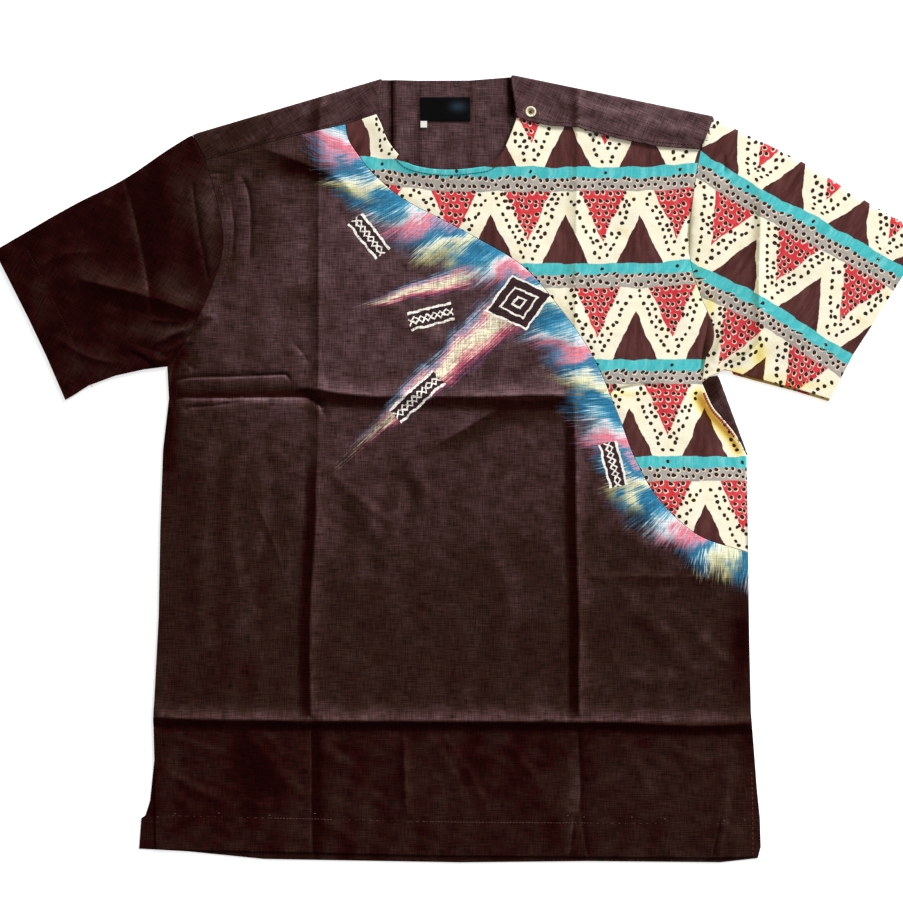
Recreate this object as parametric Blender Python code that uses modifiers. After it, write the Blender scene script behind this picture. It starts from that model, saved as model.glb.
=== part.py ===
"""Short-sleeve cotton shirt laid flat on its back, with the neck towards +Y.

Sizes are in millimetres, and each mesh is scaled to metres as it is made. The origin is on the
surface that the shirt lies on, below the middle of its outline. Every cloth piece starts as its flat
cut: an outline, cut across by section lines. The cut is then laid in place, folded over at the
shoulder or the sleeve's top line, raised where the cloth puffs and creases, and given its wall.
"""
import math
from collections import namedtuple

import bmesh
import bpy
from mathutils import Vector

MM = 0.001

# Cloth, and how the layers lie on each other
WALL = 1.2                       # cloth with its seam allowances pressed flat
SEAM_GAP = 0.4                   # between two pieces that are sewn edge to edge
LAYER_GAP = 0.3                  # between a piece and the one that it lies on
LAP_GAP = 0.6                    # the buttoned strap lies more loosely
LOWER_MID = WALL / 2             # middle of the wall that lies on the surface
TOP_MID = LOWER_MID + WALL + LAYER_GAP
LAP_MID = TOP_MID + WALL + LAP_GAP      # the buttoned strap, which laps over the insert
FOLD_RADIUS = (TOP_MID - LOWER_MID) / 2
LAP_FOLD_RADIUS = (LAP_MID - LOWER_MID) / 2
BEND_STEPS = 4                   # sections round half a turn of a fold
OUTLINE_STEP = 24                # between points on a curved edge

# How the top layer stands off the bottom one
PUFF = 1.5
PUFF_REACH = 55                  # from the outline in to the full puff
CREASE_FADE = 12                 # creases die away this close to the outline
NECK_LIFT = 2.6
NECK_LIFT_REACH = 14

Mark = namedtuple("Mark", "x y")

# Corners that several pieces share
LEFT_SHOULDER = Mark(-268.5, 333.2)
LEFT_NECK_POINT = Mark(-79.2, 389)
RIGHT_NECK_POINT = Mark(50, 391.9)
RIGHT_SHOULDER = Mark(252.5, 350.2)
LEFT_STRAP_CORNER = Mark(-256, 308.2)
RIGHT_STRAP_CORNER = Mark(239.5, 318.7)
LEFT_UNDERARM = Mark(-294, 102)
RIGHT_UNDERARM = Mark(241, 86)
SEAM_TOP = Mark(-115.7, 344.2)   # the long curved seam meets the left strap
SEAM_FOOT = Mark(287.5, -84.3)   # and ends at the right side
WRAP_TOP = Mark(256.2, 93.2)     # the back comes round to the front between these two
WRAP_FOOT = Mark(286, 13)

# Curved edges, each from its upper or left end
LEFT_ARMHOLE = [
    LEFT_STRAP_CORNER, Mark(-247, 278.5), Mark(-239, 242.5), Mark(-239, 215), Mark(-249, 183),
    Mark(-261, 154.5), Mark(-277, 125.5), LEFT_UNDERARM]
RIGHT_ARMHOLE = [
    RIGHT_STRAP_CORNER, Mark(235.5, 297), Mark(231, 263.5), Mark(228, 228.5), Mark(231, 198.5),
    Mark(241, 168.5), Mark(251.5, 144), Mark(252, 126), Mark(244, 108), RIGHT_UNDERARM]
CURVED_SEAM = [
    SEAM_TOP, Mark(-112.6, 328.9), Mark(-102.3, 312.8), Mark(-87.6, 294.5), Mark(-55.4, 268),
    Mark(0.8, 238.5), Mark(59.4, 204.1), Mark(95, 165), Mark(130.9, 113.5), Mark(156.4, 55),
    Mark(174.3, 9.1), Mark(197.5, -30.5), Mark(235.9, -66), SEAM_FOOT]
FRONT_NECK = [
    Mark(-84.6, 353.8), Mark(-79.7, 344), Mark(-72.3, 326.5), Mark(-59, 310.2), Mark(-49, 303.5),
    Mark(-28, 299.2), Mark(-6, 298.5), Mark(16, 300.7), Mark(27.4, 303.2), Mark(37.7, 311.7),
    Mark(45, 323.5), Mark(55, 348.5)]
BACK_NECK = [LEFT_NECK_POINT, Mark(-40, 388.3), Mark(8, 388.5), RIGHT_NECK_POINT]
INSERT_SIDE = [
    RIGHT_UNDERARM, Mark(251.5, 62.5), Mark(262.4, 49.5), Mark(273, 36.5), Mark(279.7, 25.5),
    WRAP_FOOT]

# Straight or slightly bent edges
LEFT_STRAP_SEAM = [
    LEFT_STRAP_CORNER, Mark(-226.3, 316.1), Mark(-193, 325.9), Mark(-150, 336.2), SEAM_TOP,
    Mark(-100.5, 349), FRONT_NECK[0]]
RIGHT_STRAP_EDGE = [
    Mark(53.4, 356), Mark(56.5, 350.5), Mark(64, 347.5), Mark(89, 342.5), Mark(117, 340.5),
    Mark(135, 335), Mark(157, 329.5), Mark(195, 321.8), RIGHT_STRAP_CORNER]
INSERT_UNDER_STRAP = [Mark(51.5, 371), Mark(150, 345), Mark(242.1, 325)]
BACK_LEFT_SIDE = [
    LEFT_UNDERARM, Mark(-292.3, 70), Mark(-298.2, 18.5), Mark(-301, -59.5), Mark(-302.6, -147.5),
    Mark(-308, -250.5), Mark(-307, -289.5), Mark(-311.4, -332.5), Mark(-316, -347),
    Mark(-320.2, -350), Mark(-322.5, -380.8)]
FRONT_LEFT_SIDE = BACK_LEFT_SIDE[:7] + [Mark(-306.3, -335), Mark(-305.5, -380.9)]
BACK_RIGHT_SIDE = [
    WRAP_FOOT, Mark(287.6, -89.5), Mark(289, -178.2), Mark(290.5, -243.2), Mark(293.5, -281.5),
    Mark(296.4, -320), Mark(299.4, -349.5), Mark(300.3, -379), Mark(297.3, -390.2)]
FRONT_RIGHT_SIDE = [
    SEAM_FOOT, Mark(288.5, -178.2), Mark(289.7, -243.2), Mark(291.5, -281.5), Mark(293, -330),
    Mark(293.5, -388.5)]
BACK_HEM = [
    Mark(-322.5, -380.8), Mark(-273.2, -383.5), Mark(-197, -391.1), Mark(-1, -394.5),
    Mark(127, -393.2), Mark(259.5, -394.4), Mark(297.3, -390.2)]
FRONT_HEM = [Mark(-305.5, -380.9), Mark(-21, -387.3), Mark(247.7, -389.4), Mark(293.5, -388.5)]

# Sleeves: from the underarm to the cuff's lower corner, then up to its upper corner
LEFT_SLEEVE_UNDER = [
    LEFT_UNDERARM, Mark(-317.5, 99), Mark(-346.2, 92.7), Mark(-373, 82.8), Mark(-389, 72.5),
    Mark(-396, 68.5)]
LEFT_CUFF = [Mark(-396, 68.5), Mark(-415, 112.5), Mark(-433.5, 151.5), Mark(-466.6, 216.8)]
RIGHT_SLEEVE_UNDER = [
    RIGHT_UNDERARM, Mark(248.5, 92), Mark(256.4, 94.8), Mark(263, 98.5), Mark(271, 97),
    Mark(292, 91), Mark(336, 79.5), Mark(369.5, 69.2)]
RIGHT_CUFF = [
    Mark(369.5, 69.2), Mark(392.5, 114), Mark(409.4, 140), Mark(439, 187.5), Mark(466.6, 231.5)]
LOWER_PEEK = 2.5                 # the right sleeve's lower layer shows this much below the upper
PEEK_FROM = 60                   # where it does, the cloth is deeper than this below the top fold

# Creases of the top layer: straight ridges that fall away evenly to both sides
Crease = namedtuple("Crease", "x0 y0 x1 y1 height reach")
BODY_CREASES = [
    Crease(-137, 376, -149.5, -391, 1.8, 26),      # pressed fold, left of the middle
    Crease(117, 373, 116, -391, 1.8, 26),          # pressed fold, right of the middle
    Crease(-307, -248.5, 291, -258, 2.2, 30),      # pressed fold across, above the hem
    Crease(-287, 73, 239, 79, 1.8, 28)]            # pressed fold across the chest
SLEEVE_CREASES = [
    Crease(-366, 182.5, -256, 173, 2.0, 22),       # the left sleeve bunches towards its armhole
    Crease(-337, 290.5, -306, 88.5, 1.2, 18),      # soft crease down the left sleeve
    Crease(322, 262, 328, 92, 1.0, 18)]            # and down the right one
SHOULDER_CREASES = [
    Crease(-191, 322, -118, 288, 1.3, 18)]         # drag line from the left shoulder

# Section lines of the two fronts between their creases, and of the straps and sleeves
COLUMNS = (-292, -264, -236, -205, -90, -60, -30, 0, 30, 62, 170, 200, 228, 254, 276)
ROWS = (
    362, 336, 310, 280, 250, 220, 190, 160, 130, 18, -12, -44, -76, -108, -140, -172, -198, -306, -328,
    -370)
STRAP_ROWS = (8, 18, 28, 36)     # from the strap's fold line
STRAP_SECTION = 20
SLEEVE_SECTION = 23
SLEEVE_WIDTH = 240

# Inverted box pleat inside the back, below the neck
PLEAT_LEFT, PLEAT_RIGHT = -41.5, 10.5
PLEAT_RISE = 0.9
PLEAT_STEP = 1.2                 # the rise happens over this width
PLEAT_FULL_TO, PLEAT_ENDS = 290, 250

# Hems: depth, and the sunk line of stitches
HEM_DEPTH = 35
CUFF_DEPTH = 30
HEM_STITCHES = (Vector((-306, -346.5)), Vector((293, -354)))
STITCH_SINK = 0.4
STITCH_REACH = 3

LABEL_SIZE = (50, 24)
LABEL_CENTRE = Mark(-15.5, 359.5)
LABEL_THICK = 1.0
TAB_SIZE = (6.5, 6.5)

BUTTON_CENTRE = Mark(69.5, 356)
BUTTON_RADIUS = 5.5
BUTTON_THICK = 2.4
BUTTON_RIM = 1.3                 # width of the raised rim
BUTTON_DISH = 0.7                # depth of the dished middle
BUTTON_HOLE = 0.9                # radius of each of the four holes
BUTTON_HOLE_PITCH = 1.5          # from the centre, along X and Y


def smooth(share):
    """Eased step from 0 to 1."""
    share = min(max(share, 0.0), 1.0)
    return share * share * (3 - 2 * share)


def curve_through(marks, step=OUTLINE_STEP):
    """Points on a smooth curve through the marks, about one step apart."""
    points = []
    for i in range(len(marks) - 1):
        a, b = Vector(marks[i]), Vector(marks[i + 1])
        before = Vector(marks[i - 1]) if i else a - (b - a)
        after = Vector(marks[i + 2]) if i + 2 < len(marks) else b + (b - a)
        spans = max(1, round((b - a).length / step))
        for k in range(spans):
            t = k / spans
            bend = (2 * before - 5 * a + 4 * b - after) * t * t
            twist = (3 * a - before - 3 * b + after) * t * t * t
            points.append(0.5 * (2 * a + (b - before) * t + bend + twist))
    points.append(Vector(marks[-1]))
    return points


def straight_through(marks):
    return [Vector(mark) for mark in marks]


def closed_outline(*runs):
    """Joins runs of points into one closed outline, without the points that runs share."""
    outline = []
    for run in runs:
        for point in run:
            if not outline or (point - outline[-1]).length > 0.05:
                outline.append(point)
    if (outline[0] - outline[-1]).length < 0.05:
        outline.pop()
    return outline


def drawn_in(outline, distance):
    """The closed outline moved in by a distance, mitred at its corners."""
    pairs = list(zip(outline, outline[1:] + outline[:1]))
    turn = math.copysign(1, sum(a.x * b.y - b.x * a.y for a, b in pairs))
    moved = []
    for i, point in enumerate(outline):
        into = (point - outline[i - 1]).normalized()
        away = (outline[(i + 1) % len(outline)] - point).normalized()
        side = Vector((-into.y - away.y, into.x + away.x)).normalized()
        mitre = max(0.5, abs(side.dot(Vector((-into.y, into.x)))))
        moved.append(point + side * (turn * distance / mitre))
    return moved


def distance_to(point, a, b):
    """Distance from a point to the segment from a to b."""
    run = b - a
    share = max(0.0, min(1.0, (point - a).dot(run) / run.length_squared))
    return (point - a - run * share).length


def distance_to_line(point, points, closed=False):
    ends = points[1:] + points[:1] if closed else points[1:]
    return min(distance_to(point, a, b) for a, b in zip(points, ends))


class Fold:
    """A fold line. Cloth past it, to the left of start to end, turns up and back over the piece."""

    def __init__(self, start, end, radius, margin=5, bulge=0, bulge_at=0, bulge_reach=1):
        self.start = Vector(start)
        run = Vector(end) - self.start
        self.length = run.length
        self.along = run.normalized()
        self.out = Vector((-self.along.y, self.along.x))
        self.radius = radius
        self.margin = margin
        self.bulge, self.bulge_at, self.bulge_reach = bulge, bulge_at, bulge_reach

    def measure(self, point):
        """Distance along the fold line, and out past it."""
        offset = Vector(point) - self.start
        return offset.dot(self.along), offset.dot(self.out)

    def at(self, along, out):
        return self.start + self.along * along + self.out * out

    def on_cut(self, laid):
        """Where a point of the laid-over cloth lies on the flat cut."""
        along, out = self.measure(laid)
        return self.at(along, math.pi * self.radius - out)

    def is_past(self, point):
        along, out = self.measure(point)
        return out > 1e-4 and -self.margin < along < self.length + self.margin

    def lay(self, point):
        """Laid place of a point of the cut, and its rise above the lower layer."""
        along, out = self.measure(point)
        bend = math.pi * self.radius
        if out < bend:
            angle = out / self.radius
            return self.at(along, self.radius * math.sin(angle)), self.radius * (1 - math.cos(angle))
        return self.at(along, bend - out), 2 * self.radius

    def pushed(self, laid):
        """The fold isn't quite straight: the cloth near it lies a little further out or in."""
        along, out = self.measure(laid)
        share = math.exp(-((along - self.bulge_at) / self.bulge_reach) ** 2)
        return laid + self.out * (self.bulge * share * math.exp(-(out / self.bulge_reach) ** 2))

    def section(self, out):
        """Section line across the cut, along the fold."""
        return self.at(0, out), self.at(self.length, out)


LEFT_SHOULDER_FOLD = Fold(LEFT_SHOULDER, LEFT_NECK_POINT, FOLD_RADIUS)
RIGHT_SHOULDER_FOLD = Fold(RIGHT_NECK_POINT, RIGHT_SHOULDER, LAP_FOLD_RADIUS)
WRAP_FOLD = Fold(WRAP_TOP, WRAP_FOOT, FOLD_RADIUS)
LEFT_SLEEVE_FOLD = Fold(
    LEFT_CUFF[-1], LEFT_SHOULDER, FOLD_RADIUS, margin=math.inf, bulge=-4, bulge_at=148, bulge_reach=42)
RIGHT_SLEEVE_FOLD = Fold(
    RIGHT_SHOULDER, RIGHT_CUFF[-1], FOLD_RADIUS, margin=math.inf, bulge=4, bulge_at=100, bulge_reach=55)

SILHOUETTE = closed_outline(
    straight_through(LEFT_CUFF[::-1]), straight_through(LEFT_SLEEVE_UNDER[::-1]),
    straight_through(BACK_LEFT_SIDE), straight_through(BACK_HEM),
    straight_through(BACK_RIGHT_SIDE[::-1]), [Vector(WRAP_TOP)],
    straight_through(RIGHT_SLEEVE_UNDER[3:]), straight_through(RIGHT_CUFF),
    [Vector(RIGHT_SHOULDER), Vector(RIGHT_NECK_POINT), Vector(LEFT_NECK_POINT), Vector(LEFT_SHOULDER)])
NECK_LINE = curve_through(FRONT_NECK)
HEM_LINE = straight_through(FRONT_HEM)
LEFT_CUFF_LINE = straight_through(LEFT_CUFF)
RIGHT_CUFF_LINE = straight_through(RIGHT_CUFF)


def crease_rise(crease, point):
    """Ridge with a sharp crest that tapers at both ends."""
    a, b = Vector((crease.x0, crease.y0)), Vector((crease.x1, crease.y1))
    off = distance_to(point, a, b) / crease.reach
    if off >= 1:
        return 0.0
    share = max(0.0, min(1.0, (point - a).dot(b - a) / (b - a).length_squared))
    taper = smooth(min(share, 1 - share) * (b - a).length / crease.reach)
    return crease.height * taper * (1 - off) ** 2


def stitch_sink(point, edge, depth):
    """Shallow groove where a hem is stitched, at its depth from the edge."""
    off = abs(distance_to_line(point, edge) - depth) / STITCH_REACH
    return -STITCH_SINK * max(0.0, 1 - off)


def top_level(point):
    """Height of the top layer's middle over a point of the plan."""
    inside = distance_to_line(point, SILHOUETTE, closed=True)
    ridges = [crease_rise(crease, point) for crease in BODY_CREASES + SLEEVE_CREASES + SHOULDER_CREASES]
    stitches = min(
        stitch_sink(point, HEM_LINE, HEM_DEPTH), stitch_sink(point, LEFT_CUFF_LINE, CUFF_DEPTH),
        stitch_sink(point, RIGHT_CUFF_LINE, CUFF_DEPTH))
    puff = PUFF * smooth(inside / PUFF_REACH)
    crease = (max(ridges) + stitches) * smooth(inside / CREASE_FADE)
    lift = NECK_LIFT * math.exp(-(distance_to_line(point, NECK_LINE) / NECK_LIFT_REACH) ** 2)
    return TOP_MID + max(0.0, puff + crease) + lift


def pleat_rise(point):
    """The back stands higher where the box pleat doubles it."""
    inner = min(point.x - PLEAT_LEFT, PLEAT_RIGHT - point.x)
    across = max(0.0, min(1.0, inner / PLEAT_STEP + 0.5))
    down = smooth((point.y - PLEAT_ENDS) / (PLEAT_FULL_TO - PLEAT_ENDS))
    return PLEAT_RISE * across * down


def place_top(point):
    """A piece of the top layer lies where it is drawn."""
    return point, top_level(point)


def place_folded(folds, lower_rise=None):
    """How a piece lies whose cut folds over along one or more lines."""
    def place(point):
        laid, height = point, LOWER_MID + (lower_rise(point) if lower_rise else 0)
        for fold in folds:
            if fold.is_past(point):
                laid, rise = fold.lay(point)
                height = LOWER_MID + rise
                if rise > 1.999 * fold.radius:
                    height += top_level(laid) - TOP_MID
        for fold in folds:
            laid = fold.pushed(laid)
        return laid, height
    return place


def face_from_outline(outline):
    """One flat face inside an outline, from a filled curve."""
    curve = bpy.data.curves.new("outline", "CURVE")
    curve.dimensions = "2D"
    curve.fill_mode = "FRONT"
    spline = curve.splines.new("POLY")
    spline.points.add(len(outline) - 1)
    for knot, point in zip(spline.points, outline):
        knot.co = (point.x, point.y, 0, 1)
    spline.use_cyclic_u = True
    guide = bpy.data.objects.new("outline", curve)
    bpy.context.scene.collection.objects.link(guide)
    filled = bpy.data.meshes.new_from_object(guide.evaluated_get(bpy.context.evaluated_depsgraph_get()))
    bm = bmesh.new()
    bm.from_mesh(filled)
    bpy.data.objects.remove(guide)
    bpy.data.curves.remove(curve)
    bpy.data.meshes.remove(filled)
    bmesh.ops.remove_doubles(bm, verts=bm.verts, dist=1e-3)
    bmesh.ops.dissolve_faces(bm, faces=bm.faces)
    return bm


def cut_along(bm, line, past=None):
    """Cuts the faces, or only those past a fold, along a line given by two points."""
    start, end = line
    faces = [face for face in bm.faces if not past or past.is_past(face.calc_center_median().xy)]
    edges = {edge for face in faces for edge in face.edges}
    verts = {vert for face in faces for vert in face.verts}
    across = Vector((start.y - end.y, end.x - start.x, 0)).normalized()
    bmesh.ops.bisect_plane(
        bm, geom=list(verts) + list(edges) + faces, dist=0.02, plane_co=start.to_3d(), plane_no=across)


def crease_sections(crease):
    """Section lines that carry a crease: its crest, its feet and the slopes between."""
    a, b = Vector((crease.x0, crease.y0)), Vector((crease.x1, crease.y1))
    aside = Vector((a.y - b.y, b.x - a.x)).normalized() * crease.reach
    return [(a + aside * share, b + aside * share) for share in (-1, -0.5, 0, 0.5, 1)]


def upright(x):
    return Vector((x, 0)), Vector((x, 1))


def level(y):
    return Vector((0, y)), Vector((1, y))


def cloth(name, bm, place, material, wall=WALL):
    """Lays a cut piece in place and gives it its wall."""
    for vert in bm.verts:
        laid, height = place(vert.co.xy)
        vert.co = Vector((laid.x, laid.y, height)) * MM
    bmesh.ops.triangulate(bm, faces=bm.faces)
    mesh = bpy.data.meshes.new(name)
    bm.to_mesh(mesh)
    bm.free()
    mesh.materials.append(material)
    piece = bpy.data.objects.new(name, mesh)
    shirt.objects.link(piece)
    solidify = piece.modifiers.new("wall", "SOLIDIFY")
    solidify.thickness = wall * MM
    solidify.offset = 0
    return piece


def finish(name, rgb, roughness):
    """Plain material in the part's colour."""
    material = bpy.data.materials.new(name)
    material.use_nodes = True
    shader = material.node_tree.nodes["Principled BSDF"]
    shader.inputs["Base Color"].default_value = (*rgb, 1)
    shader.inputs["Roughness"].default_value = roughness
    shader.inputs["Metallic"].default_value = 0
    return material


def body_sections():
    """Section lines of the two front pieces."""
    lines = [upright(x) for x in COLUMNS] + [level(y) for y in ROWS]
    for crease in BODY_CREASES:
        lines += crease_sections(crease)
    for off in (-STITCH_REACH, 0, STITCH_REACH):
        lines.append(tuple(end + Vector((0, off)) for end in HEM_STITCHES))
    return lines


def make_front_main(material):
    outline = closed_outline(
        straight_through(LEFT_STRAP_SEAM[:5]), curve_through(CURVED_SEAM),
        straight_through(FRONT_RIGHT_SIDE), straight_through(FRONT_HEM[::-1]),
        straight_through(FRONT_LEFT_SIDE[::-1]), curve_through(LEFT_ARMHOLE)[::-1])
    bm = face_from_outline(drawn_in(outline, SEAM_GAP / 2))
    for line in body_sections() + crease_sections(SHOULDER_CREASES[0]):
        cut_along(bm, line)
    cloth("front_main", bm, place_top, material)


def make_front_insert(material):
    outline = closed_outline(
        straight_through(LEFT_STRAP_SEAM[4:]), curve_through(FRONT_NECK),
        straight_through(INSERT_UNDER_STRAP), curve_through(RIGHT_ARMHOLE),
        curve_through(INSERT_SIDE), straight_through([SEAM_FOOT]), curve_through(CURVED_SEAM)[::-1])
    bm = face_from_outline(drawn_in(outline, SEAM_GAP / 2))
    for line in body_sections():
        cut_along(bm, line)
    cloth("front_insert", bm, place_top, material)


def make_back(material):
    """One cut, with its front straps and the right underarm wrap beyond the fold lines."""
    left_strap = straight_through(LEFT_STRAP_SEAM) + [Vector(LEFT_NECK_POINT)]
    right_strap = [Vector(RIGHT_NECK_POINT)] + straight_through(RIGHT_STRAP_EDGE)
    wrap = [Vector(mark) for mark in RIGHT_SLEEVE_UNDER[1::-1]] + curve_through(INSERT_SIDE)
    outline = closed_outline(
        straight_through(BACK_LEFT_SIDE[::-1]),
        curve_through(LEFT_ARMHOLE)[::-1],
        [Vector(LEFT_SHOULDER), LEFT_SHOULDER_FOLD.on_cut(LEFT_SHOULDER)],
        [LEFT_SHOULDER_FOLD.on_cut(point) for point in left_strap],
        straight_through(BACK_NECK),
        [RIGHT_SHOULDER_FOLD.on_cut(point) for point in right_strap],
        [RIGHT_SHOULDER_FOLD.on_cut(RIGHT_SHOULDER), Vector(RIGHT_SHOULDER)],
        curve_through(RIGHT_ARMHOLE),
        straight_through(RIGHT_SLEEVE_UNDER[:2]),
        [Vector(WRAP_TOP), WRAP_FOLD.on_cut(WRAP_TOP)],
        [WRAP_FOLD.on_cut(point) for point in wrap[1:]],
        straight_through(BACK_RIGHT_SIDE),
        straight_through(BACK_HEM[::-1]))
    bm = face_from_outline(drawn_in(outline, SEAM_GAP / 2))
    folds = (LEFT_SHOULDER_FOLD, RIGHT_SHOULDER_FOLD, WRAP_FOLD)
    for fold in folds:
        cut_along(bm, fold.section(0))
    for fold in folds:
        for step in range(1, BEND_STEPS + 1):
            cut_along(bm, fold.section(math.pi * fold.radius * step / BEND_STEPS), past=fold)
        for out in STRAP_ROWS:
            cut_along(bm, fold.section(math.pi * fold.radius + out), past=fold)
        for along in range(STRAP_SECTION, int(fold.length), STRAP_SECTION):
            cut_along(bm, (fold.at(along, 0), fold.at(along, 1)), past=fold)
    for fold, crease in ((LEFT_SHOULDER_FOLD, BODY_CREASES[0]), (RIGHT_SHOULDER_FOLD, BODY_CREASES[1])):
        for start, end in crease_sections(crease):
            cut_along(bm, (fold.on_cut(start), fold.on_cut(end)), past=fold)
    for x in (PLEAT_LEFT, PLEAT_RIGHT):
        cut_along(bm, upright(x - PLEAT_STEP / 2))
        cut_along(bm, upright(x + PLEAT_STEP / 2))
    for y in (PLEAT_ENDS, (PLEAT_ENDS + PLEAT_FULL_TO) / 2, PLEAT_FULL_TO):
        cut_along(bm, level(y))
    cloth("back", bm, place_folded(folds, pleat_rise), material)


def make_sleeve(name, fold, shoulder, armhole, under, cuff, peek, creases, material):
    """One cut: the lower layer, the top fold and the upper layer."""
    edge = closed_outline(
        [Vector(shoulder)], curve_through(armhole), straight_through(under), straight_through(cuff))
    lower = [
        point - fold.out * peek if point.x > under[4].x and -fold.measure(point)[1] > PEEK_FROM else point
        for point in edge]
    outline = closed_outline(lower, [fold.on_cut(point) for point in edge[::-1]])
    bm = face_from_outline(drawn_in(outline, SEAM_GAP / 2))
    cut_along(bm, fold.section(0))
    for step in range(1, BEND_STEPS + 1):
        cut_along(bm, fold.section(math.pi * fold.radius * step / BEND_STEPS), past=fold)
    for out in range(SLEEVE_SECTION, SLEEVE_WIDTH, SLEEVE_SECTION):
        cut_along(bm, fold.section(math.pi * fold.radius + out), past=fold)
    for along in range(0, int(fold.length) + 3 * SLEEVE_SECTION, SLEEVE_SECTION):
        across = along - 2 * SLEEVE_SECTION
        cut_along(bm, (fold.at(across, 0), fold.at(across, 1)))
    for crease in creases:
        for start, end in crease_sections(crease):
            cut_along(bm, (fold.on_cut(start), fold.on_cut(end)), past=fold)
    cuff_run = Vector(cuff[-1]) - Vector(cuff[0])
    inward = Vector((-cuff_run.y, cuff_run.x)).normalized()
    if inward.dot(Vector(armhole[3]) - Vector(cuff[0])) < 0:
        inward = -inward
    for depth in (CUFF_DEPTH - STITCH_REACH, CUFF_DEPTH, CUFF_DEPTH + STITCH_REACH):
        start, end = (Vector(mark) + inward * depth for mark in (cuff[0], cuff[-1]))
        cut_along(bm, (fold.on_cut(start), fold.on_cut(end)), past=fold)
    cloth(name, bm, place_folded((fold,)), material)


def make_flat_tab(name, centre, size, bottom, thick, material):
    """Thin woven rectangle that lies flat."""
    bpy.ops.mesh.primitive_cube_add(
        size=1, location=(centre.x * MM, centre.y * MM, (bottom + thick / 2) * MM))
    tab = bpy.context.object
    tab.name = name
    tab.scale = (size[0] * MM, size[1] * MM, thick * MM)
    bpy.ops.object.transform_apply(location=False, rotation=False, scale=True)
    tab.data.materials.append(material)
    for group in tab.users_collection:
        group.objects.unlink(tab)
    shirt.objects.link(tab)


def make_label(label_material, tab_material):
    bottom = WALL + PLEAT_RISE + LAYER_GAP
    make_flat_tab("label", LABEL_CENTRE, LABEL_SIZE, bottom, LABEL_THICK, label_material)
    corner = Mark(
        LABEL_CENTRE.x - (LABEL_SIZE[0] - TAB_SIZE[0]) / 2,
        LABEL_CENTRE.y - (LABEL_SIZE[1] + TAB_SIZE[1]) / 2 - LAYER_GAP)
    make_flat_tab("size_tab", corner, TAB_SIZE, bottom, LABEL_THICK, tab_material)


def make_button(material):
    """Turned disc with a raised rim, a dished middle and four holes."""
    around = [
        Vector(BUTTON_CENTRE) + Vector((math.cos(turn), math.sin(turn))) * BUTTON_RADIUS
        for turn in (k * math.pi / 6 for k in range(12))]
    seat = max(top_level(point) for point in around) - TOP_MID + LAP_MID + WALL / 2 + LAYER_GAP
    rim = BUTTON_RADIUS - BUTTON_RIM
    profile = [
        (0, BUTTON_THICK - BUTTON_DISH), (rim * 0.8, BUTTON_THICK - BUTTON_DISH),
        (rim, BUTTON_THICK - 0.15), (BUTTON_RADIUS - BUTTON_RIM / 2, BUTTON_THICK),
        (BUTTON_RADIUS - 0.15, BUTTON_THICK - 0.35), (BUTTON_RADIUS, BUTTON_THICK / 2),
        (BUTTON_RADIUS - 0.4, 0.3), (BUTTON_RADIUS - 1.2, 0), (0, 0)]
    mesh = bpy.data.meshes.new("button")
    mesh.from_pydata(
        [(x * MM, 0, z * MM) for x, z in profile], [(k, k + 1) for k in range(len(profile) - 1)], [])
    button = bpy.data.objects.new("button", mesh)
    shirt.objects.link(button)
    button.location = (BUTTON_CENTRE.x * MM, BUTTON_CENTRE.y * MM, seat * MM)
    mesh.materials.append(material)
    turned = button.modifiers.new("turned", "SCREW")
    turned.steps = turned.render_steps = 28
    turned.use_merge_vertices = True
    turned.merge_threshold = 0.00001
    for k, (x, y) in enumerate(((1, 1), (-1, 1), (-1, -1), (1, -1))):
        hole = bpy.data.meshes.new("button_hole")
        bm = bmesh.new()
        bmesh.ops.create_cone(
            bm, cap_ends=True, segments=10, radius1=BUTTON_HOLE * MM, radius2=BUTTON_HOLE * MM,
            depth=3 * BUTTON_THICK * MM)
        bm.to_mesh(hole)
        bm.free()
        cutter = bpy.data.objects.new("button_hole_%d" % k, hole)
        cutter.location = button.location + Vector((x, y, 0)) * BUTTON_HOLE_PITCH * MM
        cutter.hide_render = True
        cutter.display_type = "WIRE"
        cutters.objects.link(cutter)
        cut = button.modifiers.new("hole_%d" % k, "BOOLEAN")
        cut.operation = "DIFFERENCE"
        cut.object = cutter


for old in list(bpy.data.objects):
    bpy.data.objects.remove(old)
shirt = bpy.data.collections.new("short_sleeve_shirt")
cutters = bpy.data.collections.new("cutters")
for group in (shirt, cutters):
    bpy.context.scene.collection.children.link(group)

brown_cotton = finish("brown_cotton", (0.052, 0.030, 0.032), 0.85)
wax_print = finish("wax_print_cotton", (0.60, 0.42, 0.36), 0.8)
label_satin = finish("label_satin", (0.012, 0.013, 0.020), 0.5)
white_tape = finish("white_tape", (0.75, 0.75, 0.72), 0.7)
button_resin = finish("button_resin", (0.45, 0.36, 0.26), 0.35)

make_back(brown_cotton)
make_front_main(brown_cotton)
make_front_insert(wax_print)
make_sleeve(
    "sleeve_left", LEFT_SLEEVE_FOLD, LEFT_SHOULDER, LEFT_ARMHOLE, LEFT_SLEEVE_UNDER, LEFT_CUFF, 0,
    SLEEVE_CREASES[:2], brown_cotton)
make_sleeve(
    "sleeve_right", RIGHT_SLEEVE_FOLD, RIGHT_SHOULDER, RIGHT_ARMHOLE, RIGHT_SLEEVE_UNDER, RIGHT_CUFF,
    LOWER_PEEK, SLEEVE_CREASES[2:], wax_print)
make_label(label_satin, white_tape)
make_button(button_resin)
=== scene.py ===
import math
from collections import namedtuple

import bmesh
import bpy
import numpy as np
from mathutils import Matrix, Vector, geometry


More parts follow.
